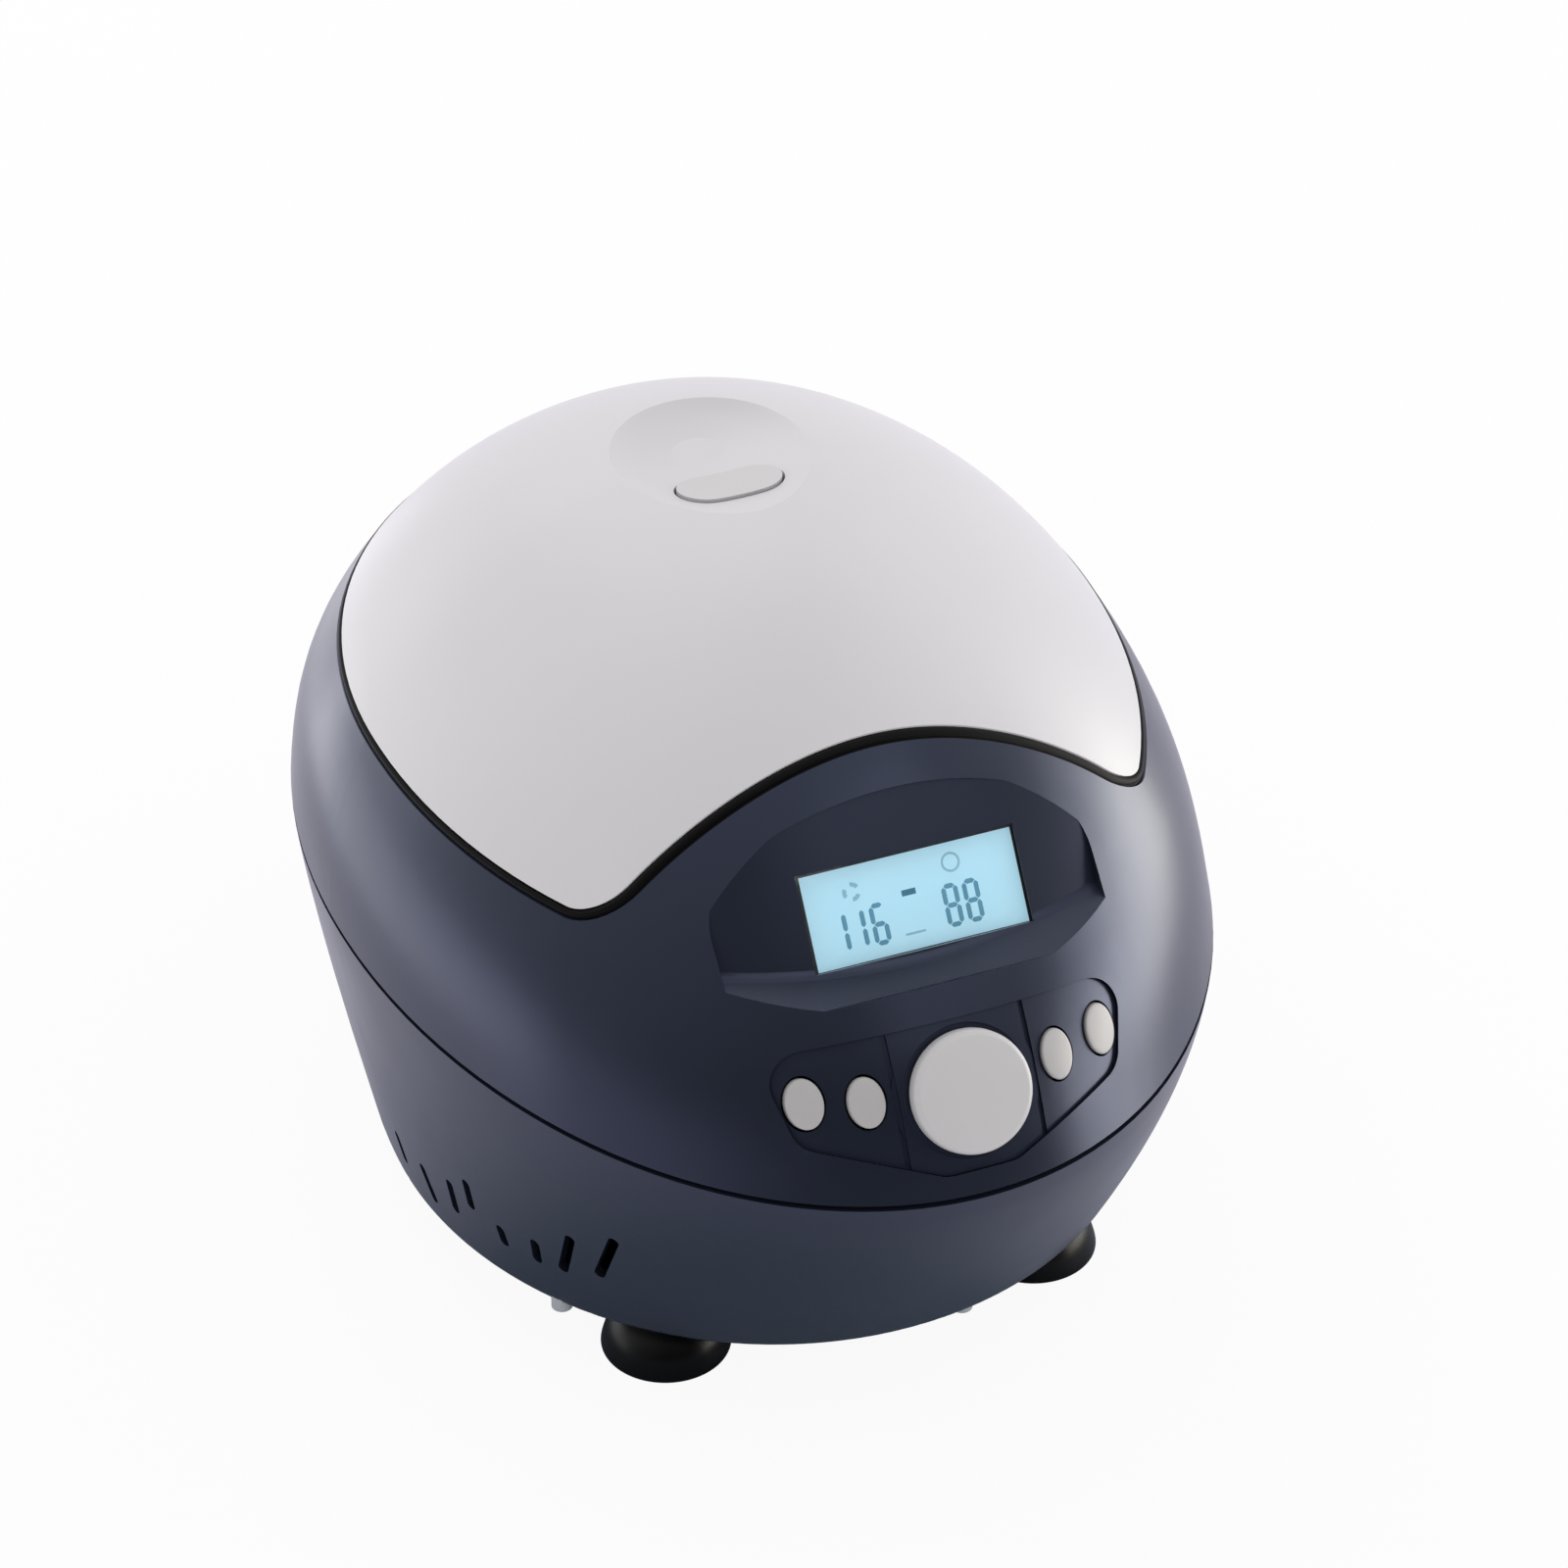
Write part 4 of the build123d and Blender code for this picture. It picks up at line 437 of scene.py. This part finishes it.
def seal_path():
    """Middle line of the gap on the dome skin, from the rear right round the front to the rear left: down
    the upright front, round the low corner as a quarter ellipse, then level to the rear. Each stretch
    has its points by share, and they are then spaced evenly, closer at the two ends. Gives the points,
    their distances along the line, and its length."""
    share = np.linspace(0, 1, 900)
    crest, above = CORNER_Z, TOP_Z - 1
    for _ in range(HALVINGS):
        middle = (crest + above) / 2
        outside = dome_value(np.array([0.0, FRONT_MIDDLE_Y, middle])) > 0
        crest, above = (crest, middle) if outside else (middle, above)
    upright = np.stack([
        np.full_like(share, FRONT_MIDDLE_Y), crest - (crest - CORNER_Z) * share**2,
    ], -1)
    corner = np.stack([
        CORNER_Y + (FRONT_MIDDLE_Y - CORNER_Y) * np.cos(share * pi / 2),
        CORNER_Z + (BEAD_Z - CORNER_Z) * np.sin(share * pi / 2),
    ], -1)
    level = np.stack([
        CORNER_Y + (REAR_END_Y - CORNER_Y) * np.sin(share * pi / 2), np.full_like(share, BEAD_Z),
    ], -1)
    y, z = np.vstack([upright, corner[1:], level[1:]]).T
    half_width, front, back, station = dome_ring(z)
    x = half_width * np.sqrt(np.clip(1 - ((y - station) / np.where(y > station, back, front)) ** 2, 0, 1))
    half = np.stack([x, y, z], -1)
    whole = np.vstack([half[::-1], half[1:] * (-1, 1, 1)])
    length = np.concatenate([[0], np.cumsum(np.linalg.norm(np.diff(whole, axis=0), axis=1))])
    ends = np.array([0.0, 0.08, 0.3, 0.7])
    at = np.concatenate([ends, np.linspace(1.4, length[-1] - 1.4, BEAD_STEPS), length[-1] - ends[::-1]])
    return np.stack([np.interp(at, length, whole[:, axis]) for axis in range(3)], -1), at, length[-1]


def seal_bead():
    """Elliptical section swept along the path, wider at the front than at the sides, rounded to a point at
    both ends: middle + half width * cos a * across + half depth * sin a * out."""
    path, at, length = seal_path()
    along = np.gradient(path, at, axis=0)
    along /= np.linalg.norm(along, axis=1, keepdims=True)
    out = skin_normal(path)
    across = np.cross(out, along)
    across /= np.linalg.norm(across, axis=1, keepdims=True)
    out = np.cross(along, across)
    rise = np.clip((path[:, 2] - BEAD_Z) / (CORNER_Z - BEAD_Z), 0, 1)
    half = SIDE_HALF_BEAD + (FRONT_HALF_BEAD - SIDE_HALF_BEAD) * rise * rise * (3 - 2 * rise)
    from_end = np.minimum(np.minimum(at, length - at), 1)
    size = np.sqrt(1 - (1 - from_end) ** 2)[:, None, None]
    a = np.linspace(0, 2 * pi, BEAD_AROUND, endpoint=False)[None, :, None]
    middle = path - (HALF_DEPTH - BEAD_PROUD) * out
    ring = half[:, None, None] * np.cos(a) * across[:, None] + HALF_DEPTH * np.sin(a) * out[:, None]
    return (middle[:, None] + size * ring).reshape(-1, 3), grid_faces(len(path), BEAD_AROUND)


points, faces = seal_bead()
round_piece("seal_bead", points, faces, seal_rubber, "lid")

# Display: a lit panel behind the window and segments a hair in front of it, in millimetres from its centre
DISPLAY_X, DISPLAY_V, DISPLAY_WIDTH, DISPLAY_HEIGHT = 1.65, 17.3, 48.3, 20.5
PANEL_LEVEL, INK_LEVEL = -4.16, -4.12
DISPLAY_CENTRE = FACET_ORIGIN + DISPLAY_X * PANEL_RIGHT + DISPLAY_V * FACET_UP
# The lit bars of each digit, and the ends of each bar in widths and half heights of the digit
SEGMENTS = {"1": "bc", "6": "acdefg", "8": "abcdefg"}
BAR_PLACES = {
    "a": ((-0.5, 1.0), (0.5, 1.0)), "b": ((0.5, 1.0), (0.5, 0.0)), "c": ((0.5, 0.0), (0.5, -1.0)),
    "d": ((-0.5, -1.0), (0.5, -1.0)), "e": ((-0.5, 0.0), (-0.5, -1.0)), "f": ((-0.5, 1.0), (-0.5, 0.0)),
    "g": ((-0.5, 0.0), (0.5, 0.0)),
}
DIGIT_WIDTH, HALF_STROKE, BAR_GAP = 2.7, 0.52, 0.12


def flat_marks(name, outlines, centre, right, up, material, body):
    """One flat mesh of several outlines, each a list of points in millimetres across and up from centre."""
    points, faces, start = [], [], 0
    for outline in outlines:
        outline = np.asarray(outline, float)
        points.append(centre + outline[:, :1] * right + outline[:, 1:] * up)
        faces.append(list(range(start, start + len(outline))))
        start += len(outline)
    place_mesh(mesh_of(name, np.vstack(points), faces), material, body)


def segment_bars(digit, x, y, height):
    """The bars of one seven-segment digit round x, y: each a bar with pointed ends, as six corners."""
    bars = []
    for bar in SEGMENTS[digit]:
        start, end = (np.array(place) * (DIGIT_WIDTH, height / 2) for place in BAR_PLACES[bar])
        along = (end - start) / np.linalg.norm(end - start)
        side = np.array([along[1], -along[0]]) * HALF_STROKE
        start, end = start + along * BAR_GAP, end - along * BAR_GAP
        near, unshaded_reflection_share = start + along * HALF_STROKE, end - along * HALF_STROKE
        bars.append(np.array([start, near + side, unshaded_reflection_share + side, end, unshaded_reflection_share - side, near - side]) + (x, y))
    return bars


def rectangle(x, y, width, height):
    """Corners of an upright rectangle round x, y."""
    return np.array([(-1, -1), (1, -1), (1, 1), (-1, 1)]) * (width / 2, height / 2) + (x, y)


def arc_band(x, y, half_width, half_height, stroke, start=0.0, sweep=2 * pi, steps=32):
    """Quads of a band of the given stroke along an elliptical arc round x, y, a full round unless told."""
    a = np.linspace(start, start + sweep, steps + 1)
    circle = np.stack([np.cos(a), np.sin(a)], -1)
    outer = circle * (half_width + stroke / 2, half_height + stroke / 2) + (x, y)
    inner = circle * (half_width - stroke / 2, half_height - stroke / 2) + (x, y)
    return [np.array([inner[i], outer[i], outer[i + 1], inner[i + 1]]) for i in range(steps)]


def display_marks(name, outlines, material, level=INK_LEVEL):
    """Marks on the display, at a level over the facet plane."""
    centre = DISPLAY_CENTRE + level * FACET_OUT
    flat_marks(name, outlines, centre, PANEL_RIGHT, FACET_UP, material, "housing")


display_marks("display_glow", [rectangle(0, 0, DISPLAY_WIDTH, DISPLAY_HEIGHT)], display_glow, PANEL_LEVEL)
# Each digit with its place across and up, and its height
digits = [("1", -17.6, -3.2, 7.9), ("1", -13.5, -3.2, 7.9), ("6", -8.6, -3.2, 8.0)]
digits += [("8", 8.1, -3.0, 8.3), ("8", 12.8, -3.0, 8.3)]
bars = [bar for digit in digits for bar in segment_bars(*digit)]
display_marks("display_digits", bars, segment_ink)
display_marks("display_dash", [rectangle(-0.9, 1.9, 3.2, 1.3)], dash_ink)
icons = arc_band(9.6, 6.0, 1.9, 1.9, 0.5) + [rectangle(-1.2, -6.8, 4.6, 0.5)]
for start in (0.5, 2.6, 4.7):
    icons += arc_band(-13.3, 4.8, 1.6, 1.6, 0.9, start, 1.1, 10)
display_marks("display_icons", icons, faint_ink)

# Mains rocker: 0 on the half that is pressed in at rest, I on the other, a hair above its two faces
ROCKER_AXIS, ROCKER_TILT = np.array([15.0, 105.0, 54.0]), radians(12.0)
# The faces' distance from the axis at the middle and at the ends, and half their height
ROCKER_MIDDLE, ROCKER_END, ROCKER_HALF = 3.6, 5.2, 7.2
MARK_LIFT = 0.03


def rocker_marks(name, outlines, side):
    """Marks on one face of the rocker: side 1 is the upper half, -1 the lower one."""
    def leaning(angle):
        """Outward and upward directions of a rear face that leans back by the angle."""
        return np.array([0.0, cos(angle), sin(angle)]), np.array([0.0, -sin(angle), cos(angle)])

    slope = np.arctan2(ROCKER_END - ROCKER_MIDDLE, ROCKER_HALF)
    face_out, face_up = leaning(ROCKER_TILT - side * slope)
    body_out, body_up = leaning(ROCKER_TILT)
    reach, rise = (ROCKER_MIDDLE + ROCKER_END) / 2, side * ROCKER_HALF / 2
    centre = ROCKER_AXIS + reach * body_out + rise * body_up + MARK_LIFT * face_out
    flat_marks(name, outlines, centre, -PANEL_RIGHT, face_up, mark_ink, "rocker")


rocker_marks("rocker_off_mark", arc_band(0, 0, 1.0, 1.45, 0.45), 1)
rocker_marks("rocker_on_mark", [rectangle(0, 0, 0.55, 3.2)], -1)

# Rotor: the place numbers 1 to 12 on the flat of the rim, read from outside
ROTOR_Y, RIM_TOP_Z, RIM_MIDDLE_R, PLACES, NUMBER_SIZE = 16.0, 121.0, 46.0, 12, 4.6


def printed_number(text):
    """A printed number: its points in millimetres, across and up, and its faces."""
    curve = bpy.data.curves.new("number", "FONT")
    curve.body, curve.size = text, NUMBER_SIZE
    curve.align_x, curve.align_y = "CENTER", "CENTER"
    curve.resolution_u = 3
    holder = bpy.data.objects.new("number", curve)
    mesh = bpy.data.meshes.new_from_object(holder)
    flat = np.empty(len(mesh.vertices) * 3)
    mesh.vertices.foreach_get("co", flat)
    faces = [list(face.vertices) for face in mesh.polygons]
    bpy.data.objects.remove(holder)
    bpy.data.meshes.remove(mesh)
    return flat.reshape(-1, 3)[:, :2], faces


points, faces, start = [], [], 0
for place in range(PLACES):
    turn = 2 * pi * place / PLACES
    outward = np.array([cos(turn), sin(turn), 0.0])
    across = np.array([-sin(turn), cos(turn), 0.0])
    flat, number_faces = printed_number(str(place + 1))
    centre = np.array([0.0, ROTOR_Y, RIM_TOP_Z + MARK_LIFT]) + RIM_MIDDLE_R * outward
    points.append(centre + flat[:, :1] * across - flat[:, 1:] * outward)
    faces += [[start + i for i in face] for face in number_faces]
    start += len(flat)
place_mesh(mesh_of("rotor_numbers", np.vstack(points), faces), number_ink, "rotor")


# Floor, world, lamps

def straight_rays(tree, path):
    """1 for what the eye sees directly or through glass, otherwise 0."""
    return node(tree, "ShaderNodeMath", {"operation": "MAXIMUM"}, {
        0: path.outputs["Is Camera Ray"], 1: path.outputs["Is Transmission Ray"],
    }).outputs[0]


WHITE = (1, 1, 1, 1)
# What gloss sees of the floor glow: a lilac white, brighter than white in its blue, which paints a lilac
# tint into every reflection of the floor
PAINTED_LILAC_REFLECTION = (0.98, 0.94, 1.08, 1)

bpy.ops.mesh.primitive_plane_add(size=12.0)
floor = bpy.context.object
floor.name = "floor"
floor_paint = bpy.data.materials.new("white_sweep")
floor_paint.use_nodes = True
tree = floor_paint.node_tree
tree.nodes.clear()
path = node(tree, "ShaderNodeLightPath")
is_gloss = path.outputs["Is Glossy Ray"]
# The matt floor is white to the eye, but gloss sees it painted a dimmer slate blue: painted shade and a
# painted slate tint in its reflections
paint_and_painted_reflection = two_tone(tree, is_gloss, linear("#F0F0F0"), linear("#A2B0C5"))
matt = node(tree, "ShaderNodeBsdfDiffuse", None, {"Color": paint_and_painted_reflection})
# The floor glows white to the eye; to gloss it glows in the painted lilac reflection
glow = node(
    tree, "ShaderNodeEmission", {"Strength": 1.0}, {"Color": two_tone(tree, is_gloss, WHITE, PAINTED_LILAC_REFLECTION)},
)
# Gloss sees the floor glow only further out: round a point under the front, its reflection is painted
# shade, standing for the object's own shade
place = node(tree, "ShaderNodeTexCoord").outputs["Object"]
reach = node(tree, "ShaderNodeVectorMath", {"operation": "DISTANCE", 1: (-0.025, -0.055, 0.0)}, {0: place})
unshaded_reflection_share = node(
    tree, "ShaderNodeMapRange", {"From Min": 0.063, "From Max": 0.163}, {"Value": reach.outputs["Value"]},
)
glossy = node(tree, "ShaderNodeMath", {"operation": "MULTIPLY"}, {0: is_gloss, 1: unshaded_reflection_share.outputs["Result"]})
seen = node(tree, "ShaderNodeMath", {"operation": "MAXIMUM"}, {
    0: straight_rays(tree, path), 1: glossy.outputs[0],
})
# The rest stays matt, and holds the shadow
share = node(tree, "ShaderNodeMath", {"operation": "MULTIPLY", 1: 0.93}, {0: seen.outputs[0]})
pick = node(
    tree, "ShaderNodeMixShader", None,
    {0: share.outputs[0], 1: matt.outputs["BSDF"], 2: glow.outputs["Emission"]},
)
node(tree, "ShaderNodeOutputMaterial", None, {"Surface": pick.outputs["Shader"]})
floor.data.materials.append(floor_paint)

# The world: white to the eye and through glass; gloss sees it white above and behind, and dim in front,
# where the room is behind the camera; everything else gets an even light
world = bpy.data.worlds.new("studio")
bpy.context.scene.world = world
world.use_nodes = True
tree = world.node_tree
tree.nodes.clear()
path = node(tree, "ShaderNodeLightPath")
heading = node(tree, "ShaderNodeTexCoord").outputs["Generated"]
behind = node(tree, "ShaderNodeVectorMath", {"operation": "DOT_PRODUCT", 1: (0.0, 1.0, 0.9)}, {0: heading})
room = node(
    tree, "ShaderNodeMapRange", {"From Min": -0.5, "From Max": 0.75, "To Min": 0.05, "To Max": 1.0},
    {"Value": behind.outputs["Value"]},
)
ambient = node(tree, "ShaderNodeBackground", {"Color": WHITE, "Strength": 0.78})
reflected = node(tree, "ShaderNodeBackground", {"Color": WHITE}, {"Strength": room.outputs["Result"]})
backdrop = node(tree, "ShaderNodeBackground", {"Color": WHITE, "Strength": 1.0})
gloss = node(tree, "ShaderNodeMixShader", None, {
    0: path.outputs["Is Glossy Ray"], 1: ambient.outputs["Background"], 2: reflected.outputs["Background"],
})
pick = node(
    tree, "ShaderNodeMixShader", None,
    {0: straight_rays(tree, path), 1: gloss.outputs["Shader"], 2: backdrop.outputs["Background"]},
)
node(tree, "ShaderNodeOutputWorld", None, {"Surface": pick.outputs["Shader"]})


# The height in metres that the lamps are turned to
LAMP_AIM_Z = 0.1


def facing(back, place):
    """Matrix of a camera or lamp at place whose -Z looks away from back, kept upright."""
    right = np.cross([0, 0, 1.0], back)
    right /= np.linalg.norm(right)
    up = np.cross(back, right)
    matrix = np.eye(4)
    matrix[:3, 0], matrix[:3, 1], matrix[:3, 2], matrix[:3, 3] = right, up, back, place
    return Matrix(matrix.tolist())


def lamp(name, place, size, power, gloss_only=False, colour="#FFFFFF"):
    """Rectangular softbox at place, turned towards the object and unseen by the camera; one that is for
    gloss only is a pale card that shows in reflections and lights nothing."""
    light = bpy.data.lights.new(name, "AREA")
    light.shape, light.energy = "RECTANGLE", power
    light.size, light.size_y = size
    light.color = linear(colour)[:3]
    made = bpy.data.objects.new(name, light)
    bpy.context.scene.collection.objects.link(made)
    away = np.array(place) - (0, 0, LAMP_AIM_Z)
    made.matrix_world = facing(away / np.linalg.norm(away), np.array(place))
    made.visible_camera = False
    made.visible_diffuse = not gloss_only


lamp("right_softbox", (1.09, -0.1, 0.27), (1.1, 0.5), 3.6)
lamp("back_softbox", (0.0, 1.1, 1.1), (1.0, 1.0), 4.4)
lamp("left_softbox", (-0.73, 0.87, 0.3), (0.8, 0.44), 1.3)
lamp("right_card", (0.5, -0.15, 0.1), (0.62, 0.2), 2.3, gloss_only=True, colour="#FFFAE9")
lamp("left_card", (-0.27, 0.13, 0.045), (0.4, 0.11), 0.22, gloss_only=True)
lamp("rear_left_card", (-0.13, 0.29, 0.05), (0.2, 0.1), 0.055, gloss_only=True)
lamp("front_card", (0.125, -0.376, 0.532), (0.4, 0.4), 0.5, gloss_only=True)

# Camera, from the fitted view of the photograph: 36.82 degrees up, 21.88 degrees round to the left. It aims
# at the middle of the case, moved a little right and up in the picture
AZIMUTH, ELEVATION, DISTANCE_MM = radians(-21.881), radians(36.821), 1408.0
back = np.array([sin(AZIMUTH) * cos(ELEVATION), -cos(AZIMUTH) * cos(ELEVATION), sin(ELEVATION)])
right = np.array([cos(AZIMUTH), sin(AZIMUTH), 0.0])
up = np.cross(back, right)
aim = np.array([0.0, -5.35, 90.0]) + 6.06 * right + 11.41 * up
camera_data = bpy.data.cameras.new("camera")
camera_data.sensor_width, camera_data.lens = 36.0, 143.35
camera_data.clip_start, camera_data.clip_end = 0.05, 30.0
camera = bpy.data.objects.new("camera", camera_data)
bpy.context.scene.collection.objects.link(camera)
camera.matrix_world = facing(back, (aim + DISTANCE_MM * back) * MM)
bpy.context.scene.camera = camera
bpy.context.scene.view_settings.view_transform = "Standard"
